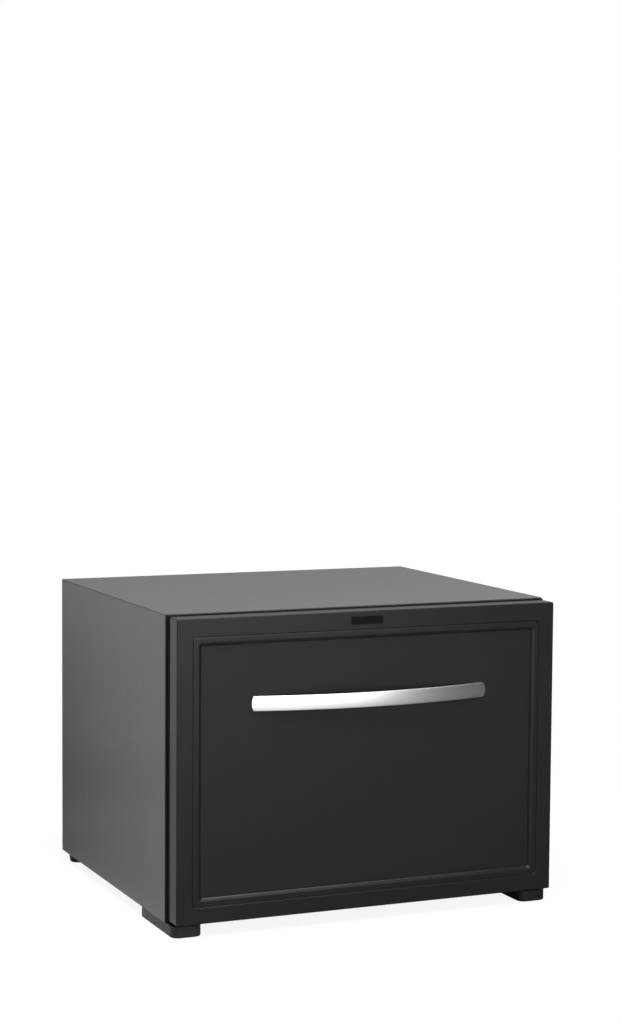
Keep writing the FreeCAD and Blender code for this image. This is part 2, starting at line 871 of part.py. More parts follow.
def gasket():
    """Seal round the drawer front: a wide base and a softer bulb that meets the cabinet."""
    x_edge = front_side - gasket_inset
    z_low = front_bottom + gasket_inset
    z_high = front_top - gasket_inset

    def ring(inset, width, y):
        x = (-x_edge + inset, x_edge - inset)
        z = (z_low + inset, z_high - inset)
        solid = block(x, y, z)
        hole = block(grown(x, -width), grown(y, 1), grown(z, -width))
        return solid.cut(hole)

    base = ring(0, gasket_base_width, (front_back, front_back + gasket_base_height))
    waist_inset = (gasket_base_width - gasket_bulb_width) / 4
    bulb = ring(waist_inset, gasket_bulb_width,
                (front_back + gasket_base_height, cab_front - gasket_touch))
    return base.fuse(bulb).removeSplitter()


# ---------------------------------------------------------------- handle

def handle_arc():
    """Radius and centre of the handle's outer curve in plan, through its ends and its crest."""
    half = handle_length / 2
    rise = handle_rise - handle_end_edge
    radius = (half * half + rise * rise) / (2 * rise)
    return radius, panel_face - handle_rise + radius


def handle_bar():
    """Bowed strip with a crowned outer face, its two feet flat on the panel."""
    radius, centre_y = handle_arc()
    half_height = handle_height / 2
    inner = radius - handle_thickness
    edge = radius - handle_crown
    low, high = handle_z - half_height, handle_z + half_height

    def point(r, z):
        return Vector(0, centre_y - r, z)

    section = Part.Wire([
        Part.LineSegment(point(inner, low), point(edge, low)).toShape(),
        Part.Arc(point(edge, low), point(radius, handle_z), point(edge, high)).toShape(),
        Part.LineSegment(point(edge, high), point(inner, high)).toShape(),
        Part.LineSegment(point(inner, high), point(inner, low)).toShape(),
    ])
    sweep = math.degrees(math.asin(handle_length / 2 / radius)) + 2
    face = Part.Face(section)
    axis = Vector(0, centre_y, handle_z)
    face.rotate(axis, Vector(0, 0, 1), -sweep)
    bow = face.revolve(axis, Vector(0, 0, 1), 2 * sweep)

    tip = handle_length / 2
    shoulder = tip - handle_end_bulge
    outline = Part.Wire([
        Part.Arc(Vector(-shoulder, 0, high), Vector(-tip, 0, handle_z),
                 Vector(-shoulder, 0, low)).toShape(),
        Part.LineSegment(Vector(-shoulder, 0, low), Vector(shoulder, 0, low)).toShape(),
        Part.Arc(Vector(shoulder, 0, low), Vector(tip, 0, handle_z),
                 Vector(shoulder, 0, high)).toShape(),
        Part.LineSegment(Vector(shoulder, 0, high), Vector(-shoulder, 0, high)).toShape(),
    ])
    front_view = Part.Face(outline).extrude(Vector(0, handle_rise + 1, 0))
    front_view.translate(Vector(0, panel_face - handle_rise - 1, 0))
    bar = bow.common(front_view)
    return bar.cut([handle_screw_hole(place) for place in handle_screw_points()])


def handle_screw_hole(point):
    """Hole for the shank, from the panel's back into the handle's foot."""
    length = screw_hole_depth() + screw_play
    return rod(point, screw_shank_radius + screw_play, length, Vector(0, -1, 0))


def screw_hole_depth():
    """How far a handle screw reaches: through the panel and into the foot."""
    return panel_thickness + handle_end_edge


def handle_screw(point):
    head = rod(point, screw_head_radius, screw_head, Vector(0, 1, 0))
    shank = rod(point, screw_shank_radius, screw_hole_depth(), Vector(0, -1, 0))
    return head.fuse(shank).removeSplitter()


def badge_plate():
    """Small bare plate on the upper band."""
    z = cab_top - badge_below_top
    return slab_y((badge_offset - badge_width / 2, badge_offset + badge_width / 2),
                  (z - badge_height / 2, z + badge_height / 2), badge_radius,
                  (front_face - badge_thickness, front_face))


# ---------------------------------------------------------------- drawer bin and carriers

def carrier():
    """Right-hand side plate: hooked on the drawer front, riding on the runner's inner member."""
    z = (runner_z - carrier_height / 2, runner_z + carrier_height / 2)
    plate = block((carrier_out - carrier_steel, carrier_out), (plug_face, runner_back), z)
    flange = block((carrier_out - carrier_flange, carrier_out),
                   (plug_face, plug_face + carrier_steel), z)
    solid = plate.fuse(flange).removeSplitter()
    holes = [screw_hole(point, Vector(-1, 0, 0)) for point in carrier_screw_points()]
    holes += [screw_hole(point, Vector(0, 1, 0)) for point in front_screw_points()]
    return solid.cut(holes)


def divider_places():
    """Positions across the bin that part it evenly."""
    step = 2 * bin_side / (dividers + 1)
    return [-bin_side + step * (index + 1) for index in range(dividers)]


def drawer_bin():
    """Moulded bin with a rim that rests on the carriers and guides for the dividers."""
    body = slab_z((-bin_side, bin_side), (bin_front, bin_back), bin_radius, (bin_bottom, bin_top))
    lower_edges = [edge for edge in body.Edges if edge.BoundBox.ZMax < bin_bottom + 1e-3]
    body = body.makeFillet(bin_floor_radius, lower_edges)
    inner_x = (-bin_side + bin_wall, bin_side - bin_wall)
    inner_y = (bin_front + bin_wall, bin_back - bin_wall)
    hollow = slab_z(inner_x, inner_y, bin_radius - bin_wall, (bin_bottom + bin_wall, bin_top + 1))
    body = body.cut(hollow)
    hook_z = runner_z + carrier_height / 2
    for sign in (-1, 1):
        x = sorted((sign * (bin_side - bin_wall), sign * (carrier_out - fold_clear)))
        ledge = block(x, (bin_front + bin_radius, bin_back - bin_radius),
                      (hook_z, hook_z + bin_rim))
        body = body.fuse(ledge)
    top = bin_bottom + bin_wall + divider_height
    for place in divider_places():
        for side in (-1, 1):
            near = place + side * (divider_thickness / 2 + divider_play)
            x = sorted((near, near + side * bin_rib_width))
            for y in ((inner_y[0], inner_y[0] + bin_rib), (inner_y[1] - bin_rib, inner_y[1])):
                body = body.fuse(block(x, y, (bin_bottom + bin_wall, top)))
    return body.removeSplitter()


def divider(x):
    """Upright board that stands in the bin's guides, with a finger cut-out."""
    inner_y = (bin_front + bin_wall + divider_play, bin_back - bin_wall - divider_play)
    bottom = bin_bottom + bin_wall
    limits = (x - divider_thickness / 2, x + divider_thickness / 2)
    board = block(limits, inner_y, (bottom, bottom + divider_height))
    middle = (inner_y[0] + inner_y[1]) / 2
    notch = rod(Vector(limits[0] - 1, middle, bottom + divider_height), divider_notch,
                divider_thickness + 2, Vector(1, 0, 0))
    return board.cut(notch)


# ---------------------------------------------------------------- inside the cold space

housing_x = (cavity_side - housing_from_side - housing_length, cavity_side - housing_from_side)
housing_y = (cab_front + housing_from_front, cab_front + housing_from_front + housing_width)
housing_z = (cavity_top - housing_height, cavity_top)
knob_x = housing_x[1] - knob_from_side
knob_y = (housing_y[0] + housing_y[1]) / 2


def control_housing():
    """Under the ceiling: holds the thermostat's stem and the lamp."""
    body = slab_z(housing_x, housing_y, housing_radius, housing_z)
    lower = [edge for edge in body.Edges if edge.BoundBox.ZMax < housing_z[0] + 1e-3]
    body = body.makeChamfer(housing_edge, lower)
    bore = rod(Vector(knob_x, knob_y, housing_z[0] - 1), stem_radius + stem_play,
               stem_length + 1 + fold_clear, Vector(0, 0, 1))
    return body.cut([bore, lens_seat(0)])


def lens_seat(play):
    """The pocket that the lamp's lens fills, open to the front."""
    x = (housing_x[0] + housing_radius, housing_x[0] + housing_radius + lens_length)
    z = (housing_z[0] + lens_margin, housing_z[1] - lens_margin)
    return block(grown(x, -play), (housing_y[0] - 1 + play, housing_y[0] + lens_depth - play),
                 grown(z, -play))


def lamp_lens():
    x = lens_seat(fold_clear / 2).BoundBox
    return slab_y((x.XMin, x.XMax), (x.ZMin, x.ZMax), lens_radius, (housing_y[0], x.YMax))


def thermostat_knob():
    """Turns on an upright stem, with grip hollows round its edge."""
    top = housing_z[0] - knob_gap
    centre = Vector(knob_x, knob_y, top - knob_height)
    body = Part.makeCone(knob_radius - knob_taper, knob_radius, knob_height, centre)
    cuts = []
    for index in range(knob_grip_count):
        angle = 2 * math.pi * index / knob_grip_count
        spot = centre + Vector(math.cos(angle), math.sin(angle), 0) * (knob_radius + knob_grip_offset)
        cuts.append(rod(spot - Vector(0, 0, 1), knob_grip_radius, knob_height + 2, Vector(0, 0, 1)))
    stem = rod(Vector(knob_x, knob_y, top - 1), stem_radius, stem_length + 1, Vector(0, 0, 1))
    return body.cut(cuts).fuse(stem).removeSplitter()


def evaporator():
    """Extruded aluminium plate with upright fins, on the liner's rear wall."""
    back = cavity_back
    half = evaporator_width / 2
    z = (evaporator_top - evaporator_height, evaporator_top)
    plate = block((-half, half), (back - evaporator_base, back), z)
    count = int(evaporator_width / fin_pitch)
    fins = []
    for index in range(count + 1):
        x = (index - count / 2) * fin_pitch
        fins.append(block((x - fin_thickness / 2, x + fin_thickness / 2),
                          (back - evaporator_base - fin_depth, back - evaporator_base), z))
    return plate.fuse(fins).removeSplitter()


def evaporator_pipe():
    """Brings the cold through the wall: a straight tube from the unit to the plate."""
    start = pipe_axis_point(cavity_back)
    return rod(start, tube_radius, unit_y - coil_bend - cavity_back, Vector(0, 1, 0))


# ---------------------------------------------------------------- cooling unit in the rear bay

def absorber_vessel():
    """Lying tank, its ends drawn in to a flat middle."""
    neck = vessel_radius - vessel_dome
    knuckle = vessel_dome * math.sqrt(0.5)
    half = [(neck, 0), (neck + knuckle, vessel_dome - knuckle), (vessel_radius, vessel_dome)]
    profile = half + [(radius, vessel_length - along) for radius, along in reversed(half)]
    return turned(profile, Vector(coil_left, unit_y, vessel_z), Vector(1, 0, 0))


def absorber_coil():
    """Serpentine tube rising from the tank; its last run turns up to the evaporator line."""
    z = vessel_z
    points = [Vector(coil_left + vessel_length, unit_y, z)]
    bends = []
    for index in range(coil_passes):
        x = coil_right if index % 2 == 0 else coil_left + tube_radius
        points.append(Vector(x, unit_y, z))
        z += coil_step
        points.append(Vector(x, unit_y, z))
        bends += [coil_bend, coil_bend]
    points += [Vector(0, unit_y, z), Vector(0, unit_y, evaporator_z)]
    points.append(Vector(0, unit_y - coil_bend, evaporator_z))
    bends += [coil_bend, coil_bend]
    return bent_tube(points, bends, tube_radius)


def boiler():
    """Insulated can round the heated tube, with a crimped lid at each end."""
    rim = boiler_radius + boiler_rim
    lower = [(rim, 0), (rim, boiler_rim_height), (boiler_radius, boiler_rim_height)]
    profile = lower + [(radius, boiler_height - height) for radius, height in reversed(lower)]
    return turned(profile, Vector(boiler_x, unit_y, cab_bottom + boiler_bottom), Vector(0, 0, 1))


def condenser_tube():
    """From the boiler's lid up, across through the fins, and into the back panel."""
    top = cab_bottom + boiler_bottom + boiler_height
    points = [Vector(boiler_x, unit_y, top), Vector(boiler_x, unit_y, condenser_z),
              Vector(condenser_left, unit_y, condenser_z),
              Vector(condenser_left, bay_front, condenser_z)]
    return bent_tube(points, [cond_bend, cond_bend], condenser_radius)


def condenser_fins():
    """Square plates pressed on the condenser tube at an even pitch."""
    middle = (condenser_left + boiler_x) / 2
    first = middle - (cond_fins - 1) * cond_fin_pitch / 2
    fins = []
    for index in range(cond_fins):
        x = first + index * cond_fin_pitch
        plate = block((x - cond_fin_sheet / 2, x + cond_fin_sheet / 2),
                      (unit_y - cond_fin_depth / 2, unit_y + cond_fin_depth / 2),
                      (condenser_z - cond_fin_height / 2, condenser_z + cond_fin_height / 2))
        hole = rod(Vector(x - 1, unit_y, condenser_z), condenser_radius, 2, Vector(1, 0, 0))
        fins.append(plate.cut(hole))
    return fins


def return_tube():
    """From the boiler's foot back to the absorber tank."""
    tank_x = coil_left + vessel_length - return_inset
    tank_z = vessel_z - vessel_radius
    low = tank_z - return_drop
    bottom = cab_bottom + boiler_bottom
    points = [Vector(tank_x, unit_y, tank_z), Vector(tank_x, unit_y, low),
              Vector(boiler_x, unit_y, low), Vector(boiler_x, unit_y, bottom)]
    return bent_tube(points, [return_bend, return_bend], return_radius)


def unit_bracket(run):
    """Folded steel strip across the back panel, behind one run of the coil."""
    z = vessel_z + coil_step * run - bracket_height / 2
    x = (coil_left + coil_bend, coil_left + coil_bend + bracket_length)
    reach = unit_y - tube_radius
    web = block(x, (reach - bracket_steel, reach), (z, z + bracket_height))
    arm = block(x, (bay_front, reach), (z, z + bracket_steel))
    foot = block(x, (bay_front, bay_front + bracket_steel), (z - bracket_foot, z + bracket_steel))
    return web.fuse([arm, foot]).removeSplitter()


def boiler_bracket():
    """Saddle between the back panel and the boiler can."""
    z = cab_bottom + boiler_bottom + boiler_height / 2
    z_span = (z - bracket_height / 2, z + bracket_height / 2)
    arm = block((boiler_x - saddle_width / 2, boiler_x + saddle_width / 2),
                (bay_front, unit_y), z_span)
    can = rod(Vector(boiler_x, unit_y, z_span[0] - 1), boiler_radius, bracket_height + 2,
              Vector(0, 0, 1))
    foot = block((boiler_x - saddle_foot_width / 2, boiler_x + saddle_foot_width / 2),
                 (bay_front, bay_front + bracket_steel), z_span)
    return arm.fuse(foot).removeSplitter().cut(can)


# ---------------------------------------------------------------- electrics

box_x = (cab_side - sheet - box_side - box_width, cab_side - sheet - box_side)
box_z = (cab_bottom + sheet + box_bottom, cab_bottom + sheet + box_bottom + box_height)
box_y = (bay_front, bay_front + box_depth)
gland_centre = Vector(box_x[1] - gland_from_side, box_y[1] + box_lid, (box_z[0] + box_z[1]) / 2)


def control_box():
    """Open plastic box on the back panel, closed by its lid."""
    outer = slab_y(box_x, box_z, box_radius, box_y)
    hollow = slab_y(grown(box_x, -box_wall), grown(box_z, -box_wall), box_radius - box_wall,
                    (box_y[0] + box_wall, box_y[1] + 1))
    return outer.cut(hollow)


def control_box_lid():
    lid = slab_y(box_x, box_z, box_radius, (box_y[1], box_y[1] + box_lid))
    hole = rod(gland_centre - Vector(0, box_lid + 1, 0), gland_body_radius, box_lid + 2,
               Vector(0, 1, 0))
    return lid.cut(hole)


def cord_gland():
    """Bushing in the lid that a mains cord would pass through."""
    flange = rod(gland_centre, gland_flange_radius, gland_flange, Vector(0, 1, 0))
    inner = rod(gland_centre - Vector(0, gland_length - gland_flange, 0), gland_body_radius,
                gland_length - gland_flange, Vector(0, 1, 0))
    bore = rod(gland_centre - Vector(0, gland_length, 0), gland_bore_radius, gland_length * 2,
               Vector(0, 1, 0))
    return flange.fuse(inner).removeSplitter().cut(bore)


# ---------------------------------------------------------------- screws by place

def both_sides(kind, points, outward):
    """Screws of one kind on the right-hand side and their mirror images."""
    right = [kind(point, outward) for point in points]
    return right + [mirrored(solid) for solid in right]


# ---------------------------------------------------------------- write the nodes

os.makedirs("parts", exist_ok=True)

export_pair("side_panel", side_panel())
export("top_panel", top_panel())
export("bottom_pan", bottom_pan())
export("back_panel", back_panel())
export("front_trim", front_trim())
export("inner_liner", inner_liner())
export("insulation_foam", insulation_foam())
export_pair("front_foot", front_foot())
export_pair("rear_foot", rear_foot())

export_pair("runner_outer", runner_outer())
export_pair("runner_mid", runner_mid())
export_pair("runner_inner", runner_inner())
export("cages_outer", outer_cage(), mirrored(outer_cage()))
export("cages_inner", inner_cage(), mirrored(inner_cage()))
outer_balls = balls(outer_ball_depth, mid_half)
inner_balls = balls(inner_ball_depth, inner_half)
export("balls_outer", *outer_balls, *[mirrored(ball) for ball in outer_balls])
export("balls_inner", *inner_balls, *[mirrored(ball) for ball in inner_balls])

export("front_frame", front_frame())
export("panel_bezel", panel_bezel())
export("front_panel", front_panel())
export("front_foam", front_foam())
export("front_inner_liner", front_inner_liner())
export("gasket", gasket())
export("handle_bar", handle_bar())
export("handle_screws", *[handle_screw(point) for point in handle_screw_points()])
export("badge_plate", badge_plate())
export_pair("drawer_carrier", carrier())
export("drawer_bin", drawer_bin())
for number, place in enumerate(divider_places(), 1):
    export("bin_divider_" + str(number), divider(place))

export("control_housing", control_housing())
export("lamp_lens", lamp_lens())
export("thermostat_knob", thermostat_knob())
export("evaporator_fins", evaporator())
export("evaporator_pipe", evaporator_pipe())

export("absorber_vessel", absorber_vessel())
export("absorber_coil", absorber_coil())
export("boiler_can", boiler())
export("condenser_tube", condenser_tube())
export("condenser_fins", *condenser_fins())
export("return_tube", return_tube())
export("unit_bracket_lower", unit_bracket(1))
export("unit_bracket_upper", unit_bracket(2))
export("boiler_bracket", boiler_bracket())

export("control_box", control_box())
export("control_box_lid", control_box_lid())
export("cord_gland", cord_gland())

export("runner_screws", *both_sides(flush_screw, runner_screw_points(), Vector(-1, 0, 0)))
export("carrier_screws", *both_sides(screw, carrier_screw_points(), Vector(-1, 0, 0)),
       *both_sides(screw, front_screw_points(), Vector(0, 1, 0)))
export("back_screws", *[screw(point, Vector(0, 1, 0)) for point in back_screw_points()])
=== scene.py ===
import math

import bmesh
import bpy
from mathutils import Matrix, Vector
from mathutils.geometry import tessellate_polygon


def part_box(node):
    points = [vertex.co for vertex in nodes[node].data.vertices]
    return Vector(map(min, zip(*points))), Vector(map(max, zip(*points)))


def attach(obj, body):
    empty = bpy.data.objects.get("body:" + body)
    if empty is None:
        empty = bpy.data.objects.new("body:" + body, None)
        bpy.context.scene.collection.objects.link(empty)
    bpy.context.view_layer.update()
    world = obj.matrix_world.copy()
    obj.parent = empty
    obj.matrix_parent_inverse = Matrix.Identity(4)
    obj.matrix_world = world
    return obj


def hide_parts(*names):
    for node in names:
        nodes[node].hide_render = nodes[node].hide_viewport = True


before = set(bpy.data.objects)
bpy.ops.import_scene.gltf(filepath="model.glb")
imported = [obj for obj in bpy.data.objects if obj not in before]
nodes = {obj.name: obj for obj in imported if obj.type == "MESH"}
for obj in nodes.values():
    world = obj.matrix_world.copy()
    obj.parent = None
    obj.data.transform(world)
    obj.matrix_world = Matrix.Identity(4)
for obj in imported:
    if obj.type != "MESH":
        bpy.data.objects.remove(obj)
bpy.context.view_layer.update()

MM = 0.001

# ---------------------------------------------------------------- sizes the pieces share (mm)

FACE_Y = -240.75               # face of the drawer's frame and of the bezel
PANEL_Y = -237.05              # face of the panel inside the bezel
CORNER_STEPS = 8               # facets round a corner of the frame and the bezel

FRAME_EDGE = 1.4               # rounding round the face
FRAME_CORNER = 2.2             # corners of the frame's outline
FRAME_WALL = 2.6
SKIRT_BEVEL = 0.3              # on the frame's rear edge
WINDOW_X = 260.0               # half the width of the frame's window
WINDOW_Z = (42.1, 405.0)
WINDOW_RADIUS = 6.0
SEAM = 0.2                     # open joint between frame and bezel
SEAM_EDGE = 0.7                # rounding on both sides of the seam
SEAM_LIP = 1.6                 # how much wider the rounding is where it faces up
BAND = 7.0                     # flat part of the bezel
BEVEL = 5.0
BEVEL_DEPTH = 2.9
BEVEL_FOOT = 0.05              # last step of the bevel, down to the panel
BEZEL_FLANGE = 6.0             # how far the bezel reaches behind the frame
INNER_RADIUS = 2.2             # corner where the bevel meets the panel

CAB_X = 285.3                  # half the cabinet's width
CAB_Z = (15.8, 432.6)
CAB_FRONT = -202.45
CAB_BACK = 262.95
EDGE_INSET = 0.02              # of the edging on the cabinet's front, from the sheets' outside
EDGE_BELOW_LID = 1.5           # the lid sheet's own edge stays bare above it
EDGE_CLEAR = 0.4               # from the door seal
EDGE_WRAP = 1.2                # how far it lies over the sheets' bend
EDGE_DEPTH = 3.4
EDGE_CORNER = 1.2
EDGE_BEVEL = 0.5               # along its outer front edge
EDGE_SOFT = 0.4                # along its inner front edge

LID_JOINT = (431.25, 431.75)   # height of the joint under the lid sheet
JOINT_FRONT = 18.0             # how far the dark strip in it, painted shade of the open joint, runs in along the front
JOINT_BACK = 14.0              # and along the back
JOINT_INSET = 0.4              # from the sheets' outside
JOINT_WIDTH = 0.6

HANDLE_HALF = 176.0            # half the handle's length
HANDLE_HALF_HEIGHT = 10.0
HANDLE_Z = 311.3
HANDLE_RISE = 25.9             # its middle, in front of the panel
HANDLE_END = 2.5               # its ends, in front of the panel
HANDLE_THICK = 5.5
HANDLE_CROWN = 1.2             # how far the long edges lie under the crest
HANDLE_CREST = 0.01            # keeps the crest inside the solid's own reach
HANDLE_BULGE = 3.0             # how far the ends' middle stands out
HANDLE_EDGE = 1.0              # rounding along both long edges
HANDLE_EDGE_DROP = 0.1         # how far it lies under the crown's edge
HANDLE_REAR_BEVEL = (0.5, 0.125)    # of the long edges behind: height, depth
HANDLE_STATIONS = 120          # along the strip
HANDLE_CROWN_STEPS = 18        # across it
HANDLE_LAST = 0.9985           # share of the half length at which an end starts to round off
HANDLE_FALL = (0.35, 0.9)      # how far its last two outlines lie under the crest
HANDLE_GAP = 0.02              # least space to the panel
HANDLE_UV = 100.0              # length that one round of its texture covers

FOOT_CORNER = 11.5
FOOT_EDGE = 1.8                # rounding along the floor
FOOT_TOP = 0.4                 # bevel under the cabinet

BAY_FRONT = 167.95             # sheet that the screws behind stand on
SCREW_RADIUS = 3.6
SCREW_HEIGHT = 1.8
SMALL_SCREW = (2.6, 1.3)       # radius and height of the lid's screws
SMALL_SCREW_INSET = 6.0
JACKET_RADIUS = 33.0
JACKET_SEAM = (62, 2.0)        # its angle round the boiler, and how far it keeps from the ends
STRAP_HEIGHTS = (118.0, 252.0)
TANK_END = 22.0                # from a tank's end to its weld
TURNED_STEPS = 72
SOFT_EDGE = 0.4                # rounding on the CAD nodes that keep their own mesh

FLUTE_PITCH = 2.3              # of the lamp's lens
FLUTE_DEPTH = 0.5
FLUTE_STEPS = 8
LENS_EDGE = 0.6

DIAL_STEPS = 9
DIAL_TURN = 270.0
POINTER = (0.7, 1.2, 3.0)      # half width, and space to the knob's rim and to its middle
POINTER_CORNER = 0.6
POINTER_LEVELS = (0.2, -0.25)  # from inside the knob to under its face
TICK = (1.0, 3.0, 0.3)         # from and to here outside the knob, half width
TICK_LEVELS = (0.1, -0.15)     # from inside the housing to under it
NUMBER_OUT = 5.8               # the numbers' middle, outside the knob
NUMBER_SIZE = 5.0
NUMBER_HIGH = 0.12


# ---------------------------------------------------------------- materials

NOISE_SPAN = (0.3, 0.7)        # nearly all of a noise's values lie in it


def node(tree, kind, **values):
    """Adds a shader node; keyword names are its properties, or its input sockets."""
    made = tree.nodes.new("ShaderNode" + kind)
    for key, value in values.items():
        if hasattr(made, key):
            setattr(made, key, value)
        else:
            made.inputs[key.replace("_", " ")].default_value = value
    return made


def link(tree, source, output, target, socket):
    tree.links.new(source.outputs[output], target.inputs[socket])


def cleared(owner):
    """The node tree of a material or a world, emptied."""
    owner.use_nodes = True
    owner.node_tree.nodes.clear()
    return owner.node_tree


def principled(material):
    return next(n for n in material.node_tree.nodes if n.type == "BSDF_PRINCIPLED")


def grey(level, tint=(1.0, 1.0, 1.0)):
    return tuple(level * part for part in tint) + (1.0,)


def toned(colour, factor):
    """The colour made darker or lighter."""
    return tuple(min(1, part * factor) for part in colour[:3]) + (1,)


def start_material(name):
    material = bpy.data.materials.new(name + "_look")
    tree = cleared(material)
    shader = node(tree, "BsdfPrincipled")
    out = node(tree, "OutputMaterial")
    link(tree, shader, "BSDF", out, "Surface")
    return material, tree, shader


def noise_field(tree, stretch, scale, detail=3.0, kind="TexNoise"):
    """A noise in object space; stretch squeezes or lengthens its grain along X, Y and Z."""
    place = node(tree, "TexCoord")
    mapping = node(tree, "Mapping", Scale=stretch)
    link(tree, place, "Object", mapping, "Vector")
    field = node(tree, kind, Scale=scale)
    if kind == "TexNoise":
        field.inputs["Detail"].default_value = detail
    link(tree, mapping, "Vector", field, "Vector")
    return field


def two_tones(tree, source, output, span, first, second):
    """A colour that runs from the first to the second while the source crosses the span."""
    ramp = node(tree, "ValToRGB")
    ramp.color_ramp.elements[0].position = span[0]
    ramp.color_ramp.elements[1].position = span[1]
    ramp.color_ramp.elements[0].color = first
    ramp.color_ramp.elements[1].color = second
    link(tree, source, output, ramp, "Fac")
    return ramp


def surface(name, colour, roughness, metallic=0.0, drift=0.08, drift_scale=18.0,
            drift_stretch=(1, 1, 1), spread=0.05, spread_scale=160.0, spread_stretch=(1, 1, 1),
            grain=1400.0, grain_depth=0.012, grain_stretch=(1, 1, 1), **sockets):
    """A finish whose colour drifts, whose gloss varies and whose surface has a fine grain."""
    material, tree, shader = start_material(name)
    shader.inputs["Metallic"].default_value = metallic
    for key, value in sockets.items():
        shader.inputs[key.replace("_", " ")].default_value = value

    field = noise_field(tree, drift_stretch, drift_scale, 4.0)
    tones = two_tones(tree, field, "Fac", NOISE_SPAN, toned(colour, 1 - drift),
                      toned(colour, 1 + drift))
    link(tree, tones, "Color", shader, "Base Color")

    gloss = noise_field(tree, spread_stretch, spread_scale, 3.0)
    span = node(tree, "MapRange", From_Min=NOISE_SPAN[0], From_Max=NOISE_SPAN[1],
                To_Min=max(0.02, roughness - spread), To_Max=min(1.0, roughness + spread))
    link(tree, gloss, "Fac", span, "Value")
    link(tree, span, "Result", shader, "Roughness")

    bumps = noise_field(tree, grain_stretch, grain, 2.0)
    bump = node(tree, "Bump", Strength=1.0, Distance=grain_depth * MM)
    link(tree, bumps, "Fac", bump, "Height")
    link(tree, bump, "Normal", shader, "Normal")
    return material


def brushed(name, colour, roughness, along, anisotropy, grain_depth):
    """Metal brushed lengthwise: long fine lines along one axis, highlights spread across them."""
    # drawn out along the axis: the tones about six times, the lines about eighty times
    patches = tuple(1.0 / 6.0 if axis == along else 1.0 for axis in range(3))
    lines = tuple(0.012 if axis == along else 1.0 for axis in range(3))
    material = surface(name, colour, roughness, metallic=1.0, drift=0.05, drift_scale=40.0,
                       drift_stretch=patches, spread=0.06, spread_scale=2600.0,
                       spread_stretch=lines, grain=5200.0, grain_depth=grain_depth,
                       grain_stretch=lines, Anisotropic=anisotropy, Anisotropic_Rotation=0.25)
    tree = material.node_tree
    tangent = node(tree, "Tangent", direction_type="UV_MAP", uv_map="UVMap")
    link(tree, tangent, "Tangent", principled(material), "Tangent")
    return material


def spangled(name, colour, roughness, crystal=90.0):
    """Hot-dip zinc: flat crystals of slightly different grey and gloss."""
    material = surface(name, colour, roughness, metallic=1.0, spread=0.0, grain=900.0,
                       grain_depth=0.006)
    tree, shader = material.node_tree, principled(material)
    # each crystal has one random colour: its red makes the gloss, its green the grey
    cells = noise_field(tree, (1, 1, 1), crystal, kind="TexVoronoi")
    tone = node(tree, "SeparateColor")
    link(tree, cells, "Color", tone, "Color")
    gloss = node(tree, "MapRange", To_Min=roughness - 0.08, To_Max=roughness + 0.1)
    link(tree, tone, "Red", gloss, "Value")
    link(tree, gloss, "Result", shader, "Roughness")
    tones = two_tones(tree, tone, "Green", (0.0, 1.0), toned(colour, 0.86), colour)
    link(tree, tones, "Color", shader, "Base Color")
    return material


